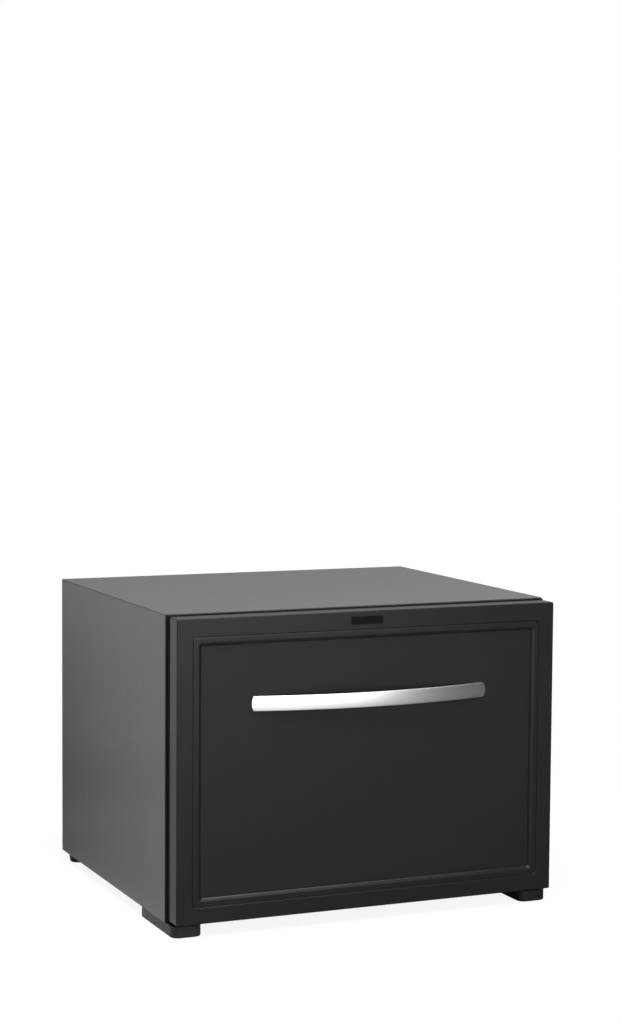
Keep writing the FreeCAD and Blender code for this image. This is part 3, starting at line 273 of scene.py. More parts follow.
LOOKS = {
    # powder coat: satin, fine orange peel, faint streaks of the sheet's rolling direction
    "cabinet_steel": surface("cabinet_steel", grey(0.045), 0.33, drift=0.07, drift_scale=9.0,
                             drift_stretch=(9, 9, 0.6), spread=0.025, spread_scale=300.0,
                             grain=1500.0, grain_depth=0.010),
    "zinc_sheet": spangled("zinc_sheet", grey(0.55), 0.42),
    "frame_plastic": surface("frame_plastic", grey(0.0065), 0.32, drift=0.06, spread=0.04,
                             spread_scale=500.0, grain=2200.0, grain_depth=0.010,
                             Specular_IOR_Level=0.28),
    "bezel_plastic": surface("bezel_plastic", grey(0.006), 0.32, drift=0.06, spread=0.04,
                             spread_scale=500.0, grain=2200.0, grain_depth=0.008,
                             Specular_IOR_Level=0.30),
    "panel_paint": surface("panel_paint", grey(0.006), 0.44, drift=0.07, drift_scale=60.0,
                           spread=0.05, spread_scale=700.0, grain=2600.0, grain_depth=0.014,
                           Specular_IOR_Level=0.28),
    "liner_plastic": surface("liner_plastic", grey(0.74, (1.0, 1.0, 0.985)), 0.34, drift=0.02,
                             grain=500.0, grain_depth=0.02),
    "foam": surface("foam", (0.62, 0.50, 0.28, 1), 0.9, drift=0.12, drift_scale=40.0,
                    grain=600.0, grain_depth=0.4),
    "seal_rubber": surface("seal_rubber", grey(0.006), 0.66, drift=0.10, grain=900.0,
                           grain_depth=0.012, Specular_IOR_Level=0.10),
    "handle_metal": brushed("handle_metal", grey(0.88), 0.43, 0, 0.75, 0.0015),
    "badge_blank": surface("badge_blank", grey(0.004), 0.40, drift=0.05, spread=0.03,
                           grain=900.0, grain_depth=0.003, Specular_IOR_Level=0.05),
    "foot_plastic": surface("foot_plastic", grey(0.008), 0.42, drift=0.08, grain=1200.0,
                            grain_depth=0.02, Specular_IOR_Level=0.34),
    "runner_steel": surface("runner_steel", grey(0.62), 0.32, metallic=1.0, drift=0.05,
                            drift_stretch=(1, 0.05, 1), spread=0.04, spread_stretch=(1, 0.03, 1),
                            spread_scale=900.0, grain_depth=0.004),
    "ball_steel": surface("ball_steel", grey(0.75), 0.12, metallic=1.0, drift=0.03, spread=0.04,
                          grain_depth=0.001),
    "bin_plastic": surface("bin_plastic", grey(0.60, (1.0, 1.0, 0.99)), 0.36, drift=0.02,
                           grain=700.0, grain_depth=0.016),
    "divider_plastic": surface("divider_plastic", (0.80, 0.88, 0.92, 1), 0.14, drift=0.01,
                               spread=0.05, grain=300.0, grain_depth=0.006,
                               Transmission_Weight=0.85, IOR=1.49),
    "housing_plastic": surface("housing_plastic", grey(0.70), 0.38, drift=0.02, grain=900.0,
                               grain_depth=0.012),
    "lens_plastic": surface("lens_plastic", (0.86, 0.86, 0.82, 1), 0.34, drift=0.01,
                            grain=700.0, grain_depth=0.01, Transmission_Weight=0.2, IOR=1.49),
    "knob_plastic": surface("knob_plastic", grey(0.16), 0.38, drift=0.04, grain=1200.0,
                            grain_depth=0.012),
    "aluminium_fins": surface("aluminium_fins", grey(0.78), 0.34, metallic=1.0, drift=0.04,
                              drift_stretch=(1, 1, 0.08), spread_stretch=(1, 1, 0.04),
                              spread_scale=800.0, grain_depth=0.004),
    "unit_tube_paint": surface("unit_tube_paint", grey(0.028), 0.38, drift=0.12, grain=700.0,
                               grain_depth=0.05),
    "boiler_jacket": spangled("boiler_jacket", grey(0.60), 0.36, 140.0),
    "control_plastic": surface("control_plastic", grey(0.045), 0.42, drift=0.06, grain=900.0,
                               grain_depth=0.016),
    "screw_zinc": surface("screw_zinc", (0.66, 0.66, 0.62, 1), 0.28, metallic=1.0, drift=0.06,
                          drift_scale=300.0, grain_depth=0.003),
}


# ---------------------------------------------------------------- shared mesh code

def in_mm(box):
    """A box's limits along X, Y and Z, each as a pair in millimetres."""
    low, high = box
    return [(first / MM, last / MM) for first, last in zip(low, high)]


def middle_of(pair):
    return (pair[0] + pair[1]) / 2


def piece(name, points, faces, body, slot, stands_for=(), uvs=None):
    """A mesh from points in millimetres, riding on a body and finished from one slot."""
    mesh = bpy.data.meshes.new(name)
    mesh.from_pydata([Vector(point) * MM for point in points], [], faces)
    build = bmesh.new()
    build.from_mesh(mesh)
    bmesh.ops.recalc_face_normals(build, faces=build.faces)
    build.to_mesh(mesh)
    build.free()
    mesh.polygons.foreach_set("use_smooth", [True] * len(mesh.polygons))
    mesh.update()
    if uvs is not None:
        layer = mesh.uv_layers.new(name="UVMap")
        for corner in mesh.loops:
            layer.data[corner.index].uv = uvs[corner.vertex_index]
    mesh.materials.append(LOOKS[slot])
    made = bpy.data.objects.new(name, mesh)
    bpy.context.scene.collection.objects.link(made)
    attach(made, body)
    if stands_for:
        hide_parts(*stands_for)
    return made


def sharpen(made, degrees):
    """Keeps flat faces flat and splits the shading where they turn by more than this."""
    made.data.set_sharp_from_angle(angle=math.radians(degrees))
    flat = made.modifiers.new("flat_faces", "WEIGHTED_NORMAL")
    flat.keep_sharp = True
    flat.weight = 100


def ring_points(u, v, radius, place, steps=6):
    """A closed rounded rectangle, counted from its lower left corner."""
    radius = max(radius, 0.02)                   # a sharp corner keeps its points apart
    centres = [(u[0] + radius, v[0] + radius, 180), (u[1] - radius, v[0] + radius, 270),
               (u[1] - radius, v[1] - radius, 0), (u[0] + radius, v[1] - radius, 90)]
    points = []
    for cu, cv, first in centres:
        for step in range(steps + 1):
            angle = math.radians(first + 90 * step / steps)
            points.append(place(cu + radius * math.cos(angle), cv + radius * math.sin(angle)))
    return points


def skin(loops, closed, caps=False):
    """Quads between equal loops; closed joins the last loop to the first."""
    count = len(loops[0])
    points = [point for loop in loops for point in loop]
    faces = []
    last = len(loops) if closed else len(loops) - 1
    for row in range(last):
        here, there = row * count, (row + 1) % len(loops) * count
        for k in range(count):
            n = (k + 1) % count
            faces.append((here + k, here + n, there + n, there + k))
    if caps:
        faces.append(tuple(range(count - 1, -1, -1)))
        top = (len(loops) - 1) * count
        faces.append(tuple(range(top, top + count)))
    return points, faces


def front_loop(inset, y, radius, outer=(-WINDOW_X, WINDOW_X), height=WINDOW_Z, steps=6):
    """Loop in the plane of the drawer's face, drawn in from the given limits."""
    return ring_points((outer[0] + inset, outer[1] - inset), (height[0] + inset, height[1] - inset),
                       radius, lambda u, v: (u, y, v), steps)


def arc_profile(centre, radius, first, last, steps):
    """Points of an arc (inset, depth), angles in degrees."""
    out = []
    for step in range(steps + 1):
        angle = math.radians(first + (last - first) * step / steps)
        out.append((centre[0] + radius * math.cos(angle), centre[1] + radius * math.sin(angle)))
    return out


def soften(name):
    """Small rounded edges on a CAD node, whose own mesh stays as it is."""
    made = nodes[name]
    weld = made.modifiers.new("weld", "WELD")
    weld.merge_threshold = 0.00001
    bevel = made.modifiers.new("edges", "BEVEL")
    bevel.width = SOFT_EDGE * MM
    bevel.segments = 2
    bevel.limit_method = "ANGLE"
    bevel.angle_limit = math.radians(35)
    bevel.harden_normals = True
    bevel.use_clamp_overlap = True


# ---------------------------------------------------------------- drawer front

def front_frame():
    """Moulded shell round the bezel: soft window edge, flat band, rounded edge, skirt."""
    x, y, z = in_mm(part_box("front_frame"))
    skirt = y[1] - FACE_Y
    loops = [front_loop(0.0, FACE_Y + FRAME_WALL, WINDOW_RADIUS, steps=CORNER_STEPS)]
    for out, depth in arc_profile((-SEAM_EDGE, SEAM_EDGE), SEAM_EDGE, 0, -90, 4):
        heights = (WINDOW_Z[0] + SEAM_LIP * out, WINDOW_Z[1])
        loops.append(front_loop(out, FACE_Y + depth, WINDOW_RADIUS - out, height=heights,
                                steps=CORNER_STEPS))
    edge = arc_profile((FRAME_EDGE, FRAME_EDGE), FRAME_EDGE, 270, 180, 5)
    edge += [(0.0, skirt - SKIRT_BEVEL), (SKIRT_BEVEL, skirt), (FRAME_WALL, skirt),
             (FRAME_WALL, FRAME_WALL)]
    for inset, depth in edge:
        loops.append(front_loop(inset, FACE_Y + depth, FRAME_CORNER - inset, x, z,
                                steps=CORNER_STEPS))
    made = piece("drawer_front_frame", *skin(loops, True), "drawer", "frame_plastic",
                 ["front_frame"])
    sharpen(made, 50)


def bezel():
    """Ring between frame and panel: rounded outer edge, flat band and a bevel that steepens."""
    shallow = SEAM + BAND
    deep = shallow + BEVEL
    panel = PANEL_Y - FACE_Y
    turn = 2 * math.atan2(BEVEL_DEPTH, BEVEL)
    curve = BEVEL / math.sin(turn)
    flange = [(-BEZEL_FLANGE, panel), (-BEZEL_FLANGE, FRAME_WALL), (SEAM, FRAME_WALL)]
    rounding = arc_profile((SEAM + SEAM_EDGE, SEAM_EDGE), SEAM_EDGE, 180, 270, 4)
    bevel = arc_profile((shallow, curve), curve, 270, 270 + math.degrees(turn), 8)

    def corner(inset):
        """Radius of the ring's corners, which tighten down the bevel."""
        if inset < SEAM:
            return WINDOW_RADIUS - inset
        if inset <= shallow:
            return WINDOW_RADIUS - SEAM
        share = min(1.0, (inset - shallow) / BEVEL)
        return (WINDOW_RADIUS - SEAM) * (1 - share) + INNER_RADIUS * share

    loops = []
    for inset, depth in flange + rounding + bevel + [(deep + BEVEL_FOOT, panel)]:
        lip = SEAM_LIP * (inset - SEAM) if (inset, depth) in rounding else 0.0
        loops.append(front_loop(inset, FACE_Y + depth, corner(inset),
                                height=(WINDOW_Z[0], WINDOW_Z[1] - lip), steps=CORNER_STEPS))
    made = piece("front_bezel", *skin(loops, True), "drawer", "bezel_plastic", ["panel_bezel"])
    sharpen(made, 50)


def gasket():
    """Door seal: flat base, two bellows folds and the strip that meets the cabinet."""
    x, y, z = in_mm(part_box("gasket"))
    depth = y[1] - y[0]
    # its section as (inset from the outside, distance behind the drawer)
    outside = [(0.3, 0.0), (0.0, 0.4), (0.0, 2.6), (0.5, 3.2), (0.9, 3.8), (0.5, 4.4),
               (0.0, 5.0), (0.0, 6.8), (0.5, 7.3), (0.9, 7.8), (0.5, 8.3), (0.0, 8.8),
               (0.0, depth - 0.5), (0.5, depth)]
    inside = [(11.6, depth), (12.2, depth - 0.6), (12.2, 10.4), (11.2, 9.4), (11.0, 8.6),
              (12.1, 7.4), (12.1, 6.4), (10.8, 5.0), (10.6, 4.2), (15.4, 3.0), (16.0, 2.2),
              (16.0, 0.4), (15.6, 0.0)]
    loops = [front_loop(inset, y[0] + out, 0.1, x, z, steps=1) for inset, out in outside + inside]
    made = piece("door_seal", *skin(loops, True), "drawer", "seal_rubber", ["gasket"])
    sharpen(made, 62)


def edge_seal():
    """Black edging on the cabinet's folded front edge, round the outside of the door seal."""
    x = (-CAB_X + EDGE_INSET, CAB_X - EDGE_INSET)
    z = (CAB_Z[0] + EDGE_INSET, CAB_Z[1] - EDGE_BELOW_LID)
    seal_x, _, seal_z = in_mm(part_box("gasket"))
    inner_x = (seal_x[0] - EDGE_CLEAR, seal_x[1] + EDGE_CLEAR)
    inner_z = (seal_z[0] - EDGE_CLEAR, seal_z[1] + EDGE_CLEAR)
    back, front = CAB_FRONT + EDGE_WRAP, CAB_FRONT - EDGE_DEPTH
    tight = EDGE_CORNER - EDGE_BEVEL
    loops = [front_loop(0.0, back, EDGE_CORNER, x, z),
             front_loop(0.0, front + EDGE_BEVEL, EDGE_CORNER, x, z),
             front_loop(EDGE_BEVEL, front, tight, x, z),
             front_loop(-EDGE_SOFT, front, tight, inner_x, inner_z),
             front_loop(0.0, front + EDGE_SOFT, EDGE_SOFT, inner_x, inner_z),
             front_loop(0.0, back, EDGE_SOFT, inner_x, inner_z)]
    made = piece("cabinet_edge_seal", *skin(loops, True), "cabinet", "seal_rubber")
    sharpen(made, 50)


def seam_seal(side, name):
    """Dark strip in the joint under the lid sheet, painted shade of the open joint: along a side
    panel and a little way round its ends.
    """
    outer, front, back = CAB_X - JOINT_INSET, CAB_FRONT + JOINT_INSET, CAB_BACK - JOINT_INSET
    route = [(CAB_X - JOINT_FRONT, front), (outer, front), (outer, back),
             (CAB_X - JOINT_BACK, back)]
    inward = [(0.0, JOINT_WIDTH), (-JOINT_WIDTH, JOINT_WIDTH), (-JOINT_WIDTH, -JOINT_WIDTH),
              (0.0, -JOINT_WIDTH)]
    loops = []
    for (x, y), (dx, dy) in zip(route, inward):
        loops.append([(side * (x + u * dx), y + u * dy, z)
                      for u, z in ((0, LID_JOINT[0]), (1, LID_JOINT[0]), (1, LID_JOINT[1]),
                                   (0, LID_JOINT[1]))])
    # the seal rubber's dark look stands in for the joint's shade: painted shade
    made = piece("lid_joint_shade_" + name, *skin(loops, False, caps=True), "cabinet", "seal_rubber")
    sharpen(made, 50)


def handle_section():
    """The strip's outline: height from its middle, depth under the crest, and how far forward."""
    half, flat = HANDLE_HALF_HEIGHT, HANDLE_HALF_HEIGHT - HANDLE_EDGE
    shoulder = HANDLE_CROWN * (flat / half) ** 2

    def rounding(side, angles):
        turns = [math.radians(angle) for angle in angles]
        return [(side * (flat + HANDLE_EDGE * math.sin(turn)),
                 shoulder + HANDLE_EDGE * (1 - math.cos(turn)) + HANDLE_EDGE_DROP, 0.0)
                for turn in turns]

    points = []
    for step in range(HANDLE_CROWN_STEPS + 1):
        z = -flat + 2 * flat * step / HANDLE_CROWN_STEPS
        points.append((z, HANDLE_CREST + HANDLE_CROWN * (z / half) ** 2, 0.0))
    points += rounding(1, (30, 60, 90))
    height, forward = HANDLE_REAR_BEVEL
    points += [(half, HANDLE_THICK, forward), (half - height, HANDLE_THICK, 0.0),
               (-half + height, HANDLE_THICK, 0.0), (-half, HANDLE_THICK, forward)]
    return points + rounding(-1, (90, 60, 30))


def handle():
    """Bowed strip, crowned outside, with softly rounded edges and slightly bulged ends."""
    rise = HANDLE_RISE - HANDLE_END
    radius = (HANDLE_HALF ** 2 + rise ** 2) / (2 * rise)
    centre_y = PANEL_Y - HANDLE_RISE + radius
    profile = handle_section()
    little, more = HANDLE_FALL
    stations = [(-1.0, more), (-1.0, little), (-HANDLE_LAST, 0.0)]
    stations += [(-HANDLE_LAST + 2 * HANDLE_LAST * step / HANDLE_STATIONS, 0.0)
                 for step in range(1, HANDLE_STATIONS)]
    stations += [(HANDLE_LAST, 0.0), (1.0, little), (1.0, more)]
    loops, uvs = [], []
    for share, fall in stations:
        loop = []
        for number, (z, depth, forward) in enumerate(profile):
            x = share * (HANDLE_HALF - HANDLE_BULGE * (z / HANDLE_HALF_HEIGHT) ** 2)
            under = depth if depth == HANDLE_THICK else depth + fall
            y = centre_y - math.sqrt((radius - under) ** 2 - x * x) - forward
            loop.append((x, min(y, PANEL_Y - HANDLE_GAP), HANDLE_Z + z))
            uvs.append((x / HANDLE_UV, number / len(profile)))
        loops.append(loop)
    points, faces = skin(loops, False, caps=True)
    made = piece("handle_bow", points, faces, "drawer", "handle_metal", ["handle_bar"], uvs)
    sharpen(made, 40)


# ---------------------------------------------------------------- feet

def front_foot(side):
    """Block foot with a rounded lower edge."""
    name = "front_foot_" + side
    x, y, (_, top) = in_mm(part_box(name))
    profile = arc_profile((FOOT_EDGE, FOOT_EDGE), FOOT_EDGE, 270, 180, 5)
    profile += [(0.0, top - FOOT_TOP), (FOOT_TOP, top)]
    loops = []
    for inset, z in profile:
        loops.append(ring_points((x[0] + inset, x[1] - inset), (y[0] + inset, y[1] - inset),
                                 FOOT_CORNER - inset, lambda u, v: (u, v, z), 10))
    made = piece("foot_block_" + side, *skin(loops, False, caps=True), "cabinet", "foot_plastic",
                 [name])
    sharpen(made, 40)


# ---------------------------------------------------------------- fittings

def turned(name, body, slot, centre, axis, profile):
    """A closed outline of (radius, height) points turned round an axis through centre."""
    turn = Vector(axis).to_track_quat("Z", "Y")
    angles = [math.tau * k / TURNED_STEPS for k in range(TURNED_STEPS)]
    loops = []
    for radius, height in profile:
        ring = [Vector((radius * math.cos(angle), radius * math.sin(angle), height))
                for angle in angles]
        loops.append([Vector(centre) + turn @ point for point in ring])
    made = piece(name, *skin(loops, True), body, slot)
    sharpen(made, 45)


def pan_heads(name, body, slot, places, outward, radius=SCREW_RADIUS, height=SCREW_HEIGHT,
              stands_for=()):
    """Pan-head screws with a cross recess, in one mesh, standing on the given surface points."""
    turn = Vector(outward).to_track_quat("Z", "Y")
    rim = ((1.0, 0.0), (1.0, 0.45), (0.95, 0.75), (0.84, 0.94), (0.72, 1.0))    # shares
    steps = 24
    arm, half = 0.56 * radius, 0.13 * radius     # of the recess, which narrows to its floor
    taper, floor_level = 0.6, 0.35
    angles = [math.tau * k / steps for k in range(steps)]
    cross = []
    for quarter in range(4):
        c, s = math.cos(math.tau * quarter / 4), math.sin(math.tau * quarter / 4)
        for u, v in ((half, -half), (arm, -half), (arm, half)):
            cross.append((u * c - v * s, u * s + v * c))
    points, faces = [], []
    for number, place in enumerate(places):
        first = len(points)
        twist = 0.7 * number                     # no two screws stand alike
        rings = [[(share * radius * math.cos(angle), share * radius * math.sin(angle),
                   rise * height) for angle in angles] for share, rise in rim]
        rings.append([(u, v, height) for u, v in cross])
        rings.append([(taper * u, taper * v, floor_level * height) for u, v in cross])
        for ring in rings:
            for u, v, w in ring:
                around = Vector((u * math.cos(twist) - v * math.sin(twist),
                                 u * math.sin(twist) + v * math.cos(twist), w))
                points.append(Vector(place) + turn @ around)
        for row in range(len(rim) - 1):
            for k in range(steps):
                a, b = first + row * steps + k, first + row * steps + (k + 1) % steps
                faces.append((a, b, b + steps, a + steps))
        edge, top = first + (len(rim) - 1) * steps, first + len(rim) * steps
        outline = [Vector(point) for point in rings[len(rim) - 1]]
        hole = [Vector(point) for point in rings[len(rim)]]
        for triangle in tessellate_polygon([outline, hole]):
            faces.append(tuple(edge + k for k in triangle))
        for k in range(len(cross)):
            n = (k + 1) % len(cross)
            faces.append((top + k, top + n, top + len(cross) + n, top + len(cross) + k))
        faces.append(tuple(top + len(cross) + k for k in range(len(cross))))
    made = piece(name, points, faces, body, slot, stands_for)
    sharpen(made, 35)


def screws_behind():
    """Screws of the rear panels and of the control box's lid."""
    x, _, z = in_mm(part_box("back_screws"))
    outer, rows = x[1] - SCREW_RADIUS, (z[0] + SCREW_RADIUS, z[1] - SCREW_RADIUS)
    pan_heads("rear_panel_screws", "cabinet", "screw_zinc",
              [(side * outer, BAY_FRONT, height) for side in (-1, 1) for height in rows],
              (0, 1, 0), stands_for=["back_screws"])
    x, y, z = in_mm(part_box("control_box_lid"))
    inset = SMALL_SCREW_INSET
    corners = [(u, y[1], v) for u in (x[0] + inset, x[1] - inset)
               for v in (z[0] + inset, z[1] - inset)]
    pan_heads("control_lid_screws", "cabinet", "screw_zinc", corners, (0, 1, 0), *SMALL_SCREW)


def boiler_trim():
    """Two straps round the boiler's jacket, and the fold that closes it."""
    x, y, z = in_mm(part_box("boiler_can"))
    centre = (middle_of(x), middle_of(y))
    radius = JACKET_RADIUS
    # sections: the strap's as (radius, height), the fold's as (along the jacket, off it)
    strap = [(radius - 0.3, -5.0), (radius + 0.5, -5.0), (radius + 0.9, -4.5),
             (radius + 0.9, 4.5), (radius + 0.5, 5.0), (radius - 0.3, 5.0)]
    for number, height in enumerate(STRAP_HEIGHTS):
        turned("boiler_strap_%d" % (number + 1), "cabinet", "runner_steel",
               (centre[0], centre[1], height), (0, 0, 1), strap)
    degrees, clear = JACKET_SEAM
    angle = math.radians(degrees)
    out = Vector((math.cos(angle), math.sin(angle), 0))
    along = Vector((-out.y, out.x, 0))
    fold = [(-4.0, 0.1), (-3.0, 0.55), (1.6, 0.65), (2.6, 0.1), (2.6, -0.6), (-4.0, -0.6)]
    loops = [[Vector((*centre, 0)) + along * u + out * (math.sqrt(radius ** 2 - u ** 2) + v)
              + Vector((0, 0, height)) for u, v in fold] for height in (z[0] + clear, z[1] - clear)]
    made = piece("boiler_jacket_seam", *skin(loops, False, caps=True), "cabinet", "boiler_jacket")
    sharpen(made, 30)


def vessel_welds():
    """Weld beads round both ends of the absorber's tank."""
    x, y, z = in_mm(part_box("absorber_vessel"))
    radius = (z[1] - z[0]) / 2
    bead = [(radius - 0.8, -2.4), (radius + 0.1, -2.2), (radius + 0.8, -1.0), (radius + 0.9, 0.0),
            (radius + 0.8, 1.0), (radius + 0.1, 2.2), (radius - 0.8, 2.4)]
    for number, place in enumerate((x[0] + TANK_END, x[1] - TANK_END)):
        turned("vessel_weld_%d" % (number + 1), "cabinet", "unit_tube_paint",
               (place, middle_of(y), middle_of(z)), (1, 0, 0), bead)


def lamp_lens():
    """Cover over the lamp, with upright flutes on its face."""
    low, high = (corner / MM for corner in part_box("lamp_lens"))
    edge = LENS_EDGE
    width = high.x - low.x - 2 * edge
    count = FLUTE_STEPS * round(width / FLUTE_PITCH)
    loops = []
    for k in range(-1, count + 2):
        x = low.x + edge + width * (min(max(k, 0), count) / count)
        face = low.y + FLUTE_DEPTH * (0.5 - 0.5 * math.cos(math.tau * k / FLUTE_STEPS))
        if k in (-1, count + 1):
            x, face = (low.x if k < 0 else high.x), low.y + edge
        loops.append([(x, high.y, low.z), (x, face + edge, low.z), (x, face, low.z + edge),
                      (x, face, high.z - edge), (x, face + edge, high.z), (x, high.y, high.z)])
    made = piece("lamp_cover", *skin(loops, False, caps=True), "cabinet", "lens_plastic",
                 ["lamp_lens"])
    sharpen(made, 40)


def dial_number(value, place):
    """A raised number under the control housing, to be read from below."""
    label = bpy.data.curves.new("dial_number_%d" % value, "FONT")
    label.body = str(value)
    label.size = NUMBER_SIZE * MM
    label.extrude = NUMBER_HIGH * MM
    label.align_x, label.align_y = "CENTER", "CENTER"
    label.materials.append(LOOKS["knob_plastic"])
    made = bpy.data.objects.new(label.name, label)
    made.location = place * MM
    made.rotation_euler = (math.pi, 0, 0)
    bpy.context.scene.collection.objects.link(made)
    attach(made, "cabinet")


def dial():
    """Pointer on the thermostat's knob; ticks and plain numbers on the housing round it."""
    (left, right), y, (face, _) = in_mm(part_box("thermostat_knob"))
    radius = (right - left) / 2
    x, y = middle_of((left, right)), middle_of(y)
    half, rim, hub = POINTER
    bar = [ring_points((x - half, x + half), (y - radius + rim, y - hub), POINTER_CORNER,
                       lambda u, v: (u, v, face + level)) for level in POINTER_LEVELS]
    made = piece("thermostat_pointer", *skin(bar, False, caps=True), "thermostat_knob",
                 "housing_plastic")
    sharpen(made, 40)

    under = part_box("control_housing")[0].z / MM
    start, end, half = TICK
    outline = ((radius + start, -half), (radius + end, -half), (radius + end, half),
               (radius + start, half))
    sides = ((0, 1, 2, 3), (4, 5, 6, 7), (0, 1, 5, 4), (1, 2, 6, 5), (2, 3, 7, 6), (3, 0, 4, 7))
    points, faces = [], []
    for number in range(DIAL_STEPS):
        angle = math.radians(-90 + DIAL_TURN * number / (DIAL_STEPS - 1))
        out = Vector((math.cos(angle), math.sin(angle), 0))
        across = Vector((-out.y, out.x, 0))
        first = len(points)
        points += [Vector((x, y, under + level)) + out * u + across * v
                   for level in TICK_LEVELS for u, v in outline]
        faces += [tuple(first + k for k in corners) for corners in sides]
        if number % 2 == 0:
            dial_number(number // 2 + 1, Vector((x, y, under)) + out * (radius + NUMBER_OUT))
    made = piece("dial_ticks", points, faces, "cabinet", "knob_plastic")
    sharpen(made, 40)


# ---------------------------------------------------------------- put it together

for cad in nodes.values():
    for slot in cad.material_slots:
        slot.material = LOOKS[slot.material.name.split(".")[0]]

front_frame()
bezel()
gasket()
edge_seal()
seam_seal(-1, "left")
seam_seal(1, "right")
handle()
front_foot("left")
front_foot("right")
screws_behind()
boiler_trim()
vessel_welds()
lamp_lens()
dial()

for name in ("badge_plate", "control_box", "control_box_lid", "drawer_bin", "control_housing"):
    soften(name)


# ---------------------------------------------------------------- floor, light and camera

# Levels of what shiny surfaces see, where 1 is white
STUDIO_DIM = 0.08              # on the camera's side of the studio
STUDIO_LEFT = 0.21             # behind the object, at its left
STUDIO_RIGHT = 0.58            # and at its right
# Painted light and shade on the floor, which shiny surfaces and glass see
FLOOR_NEAR = 1.35              # painted light on the floor beside the object, against the studio beside it
FLOOR_REAR = 0.45              # painted shade: part of it left beside the object's rear
FLOOR_FAR = 0.10               # and well away from the object
FLOOR_PAINTED_SHADOW = 0.60           # part of it left in the painted shadow round the object
FLOOR_AHEAD = 0.46             # floor well in front of the object
FLOOR_ASIDE = 0.12             # part of that left far to the right
FLOOR_HORIZON = 0.42           # floor far behind the object
FLOOR_WHITE = 0.90             # part of the plain white that the eye sees close to the object
FLOOR_PAINT = 0.86             # the rest, which takes the shadow

# Where the floor's painted light and shade change (m). With a slope, a metre to the right counts as
# that many metres to the back.
FLOOR_HALF = 14.0              # half the floor's side
FOOTPRINT = (0.285, 0.26, 0.0)  # half the object's width and depth
SHADOW_DARKENS = (0.01, 0.07)     # outside the footprint
SHADOW_CLEARS = (0.09, 0.30)
WHITE_SPAN = (0.35, 1.3)       # from the middle
NEAR_SLOPE, NEAR_SPAN = -0.6, (-0.35, 0.15)
REAR_SLOPE, REAR_SPAN = 2.3, (-0.85, -0.38)
FAR_SLOPE, FAR_SPAN = 1.33, (-0.20, 0.30)
AHEAD_SPAN = (-0.5, -1.1)      # along Y, as the horizon's
HORIZON_SPAN = (2.1, 3.6)
ASIDE_SPAN = (0.7, 2.1)        # along X

# And where the studio's levels change, by direction
STUDIO_SLOPE, STUDIO_SPAN = -0.35, (-0.55, 0.35)
STUDIO_ASIDE = (-0.10, 0.60)

CAMERA_PLACE = (-1.2764, -2.96425, 0.7963)
CAMERA_ANGLES = (-23.486, 4.415, 0.408)     # azimuth, elevation and roll
CAMERA_LENS = 78.05
SENSOR_WIDTH = 36.0


def smooth(tree, value, span, levels):
    """A value's smooth way from the first level to the second while it crosses the span."""
    made = node(tree, "MapRange", interpolation_type="SMOOTHSTEP", From_Min=span[0],
                From_Max=span[1], To_Min=levels[0], To_Max=levels[1])
    tree.links.new(value, made.inputs["Value"])
    return made.outputs["Result"]


def combined(tree, operation, first, second):
    """Two values put through one operation."""
    made = node(tree, "Math", operation=operation)
    tree.links.new(first, made.inputs[0])
    tree.links.new(second, made.inputs[1])
    return made.outputs["Value"]


def slanted(tree, parts, slope):
    """The distance along Y, plus slope times that along X."""
    made = node(tree, "Math", operation="MULTIPLY_ADD")
    made.inputs[1].default_value = slope
    link(tree, parts, "X", made, 0)
    link(tree, parts, "Y", made, 2)
    return made.outputs["Value"]


def mixed(tree, share, first, second):
    """The first shader, or the second where the share is 1."""
    made = node(tree, "MixShader")
    tree.links.new(share, made.inputs["Fac"])
    tree.links.new(first, made.inputs[1])
    tree.links.new(second, made.inputs[2])
    return made


def white_for_eye(tree, plain, white, share):
    """The eye, gloss and glass see mostly the white shader, all other light the plain one."""
    path = node(tree, "LightPath")
    seen = combined(tree, "MAXIMUM", path.outputs["Is Camera Ray"], path.outputs["Is Glossy Ray"])
    also = combined(tree, "MAXIMUM", seen, path.outputs["Is Transmission Ray"])
    return mixed(tree, combined(tree, "MULTIPLY", also, share), plain, white)


def contact_rim(tree, place):
    """Painted shadow on the floor close round the object, against 1 under it and further away."""
    size_of = node(tree, "VectorMath", operation="ABSOLUTE")
    link(tree, place, "Object", size_of, 0)
    beyond = node(tree, "VectorMath", operation="SUBTRACT")
    beyond.inputs[1].default_value = FOOTPRINT
    link(tree, size_of, "Vector", beyond, 0)
    apart = node(tree, "SeparateXYZ")
    link(tree, beyond, "Vector", apart, "Vector")
    gap = combined(tree, "MAXIMUM", apart.outputs["X"], apart.outputs["Y"])
    return combined(tree, "MAXIMUM", smooth(tree, gap, SHADOW_DARKENS, (1.0, FLOOR_PAINTED_SHADOW)),
                    smooth(tree, gap, SHADOW_CLEARS, (FLOOR_PAINTED_SHADOW, 1.0)))


def floor_glow(tree, place):
    """Painted light and shade on the floor for shiny surfaces: how bright it is to them, by where
    it lies round the object.
    """
    parts = node(tree, "SeparateXYZ")
    link(tree, place, "Object", parts, "Vector")
    x, y = parts.outputs["X"], parts.outputs["Y"]
    near = smooth(tree, slanted(tree, parts, NEAR_SLOPE), NEAR_SPAN, (STUDIO_DIM, STUDIO_RIGHT))
    rear = smooth(tree, slanted(tree, parts, REAR_SLOPE), REAR_SPAN, (1.0, FLOOR_REAR))
    far = smooth(tree, slanted(tree, parts, FAR_SLOPE), FAR_SPAN, (FLOOR_NEAR, FLOOR_FAR))
    shaded = combined(tree, "MULTIPLY", combined(tree, "MULTIPLY", rear, far),
                      contact_rim(tree, place))
    behind = combined(tree, "MULTIPLY", near, shaded)
    ahead = combined(tree, "MULTIPLY", smooth(tree, y, AHEAD_SPAN, (0.0, FLOOR_AHEAD)),
                     smooth(tree, x, ASIDE_SPAN, (1.0, FLOOR_ASIDE)))
    horizon = smooth(tree, y, HORIZON_SPAN, (0.0, FLOOR_HORIZON))
    return combined(tree, "MAXIMUM", combined(tree, "MAXIMUM", behind, horizon), ahead)


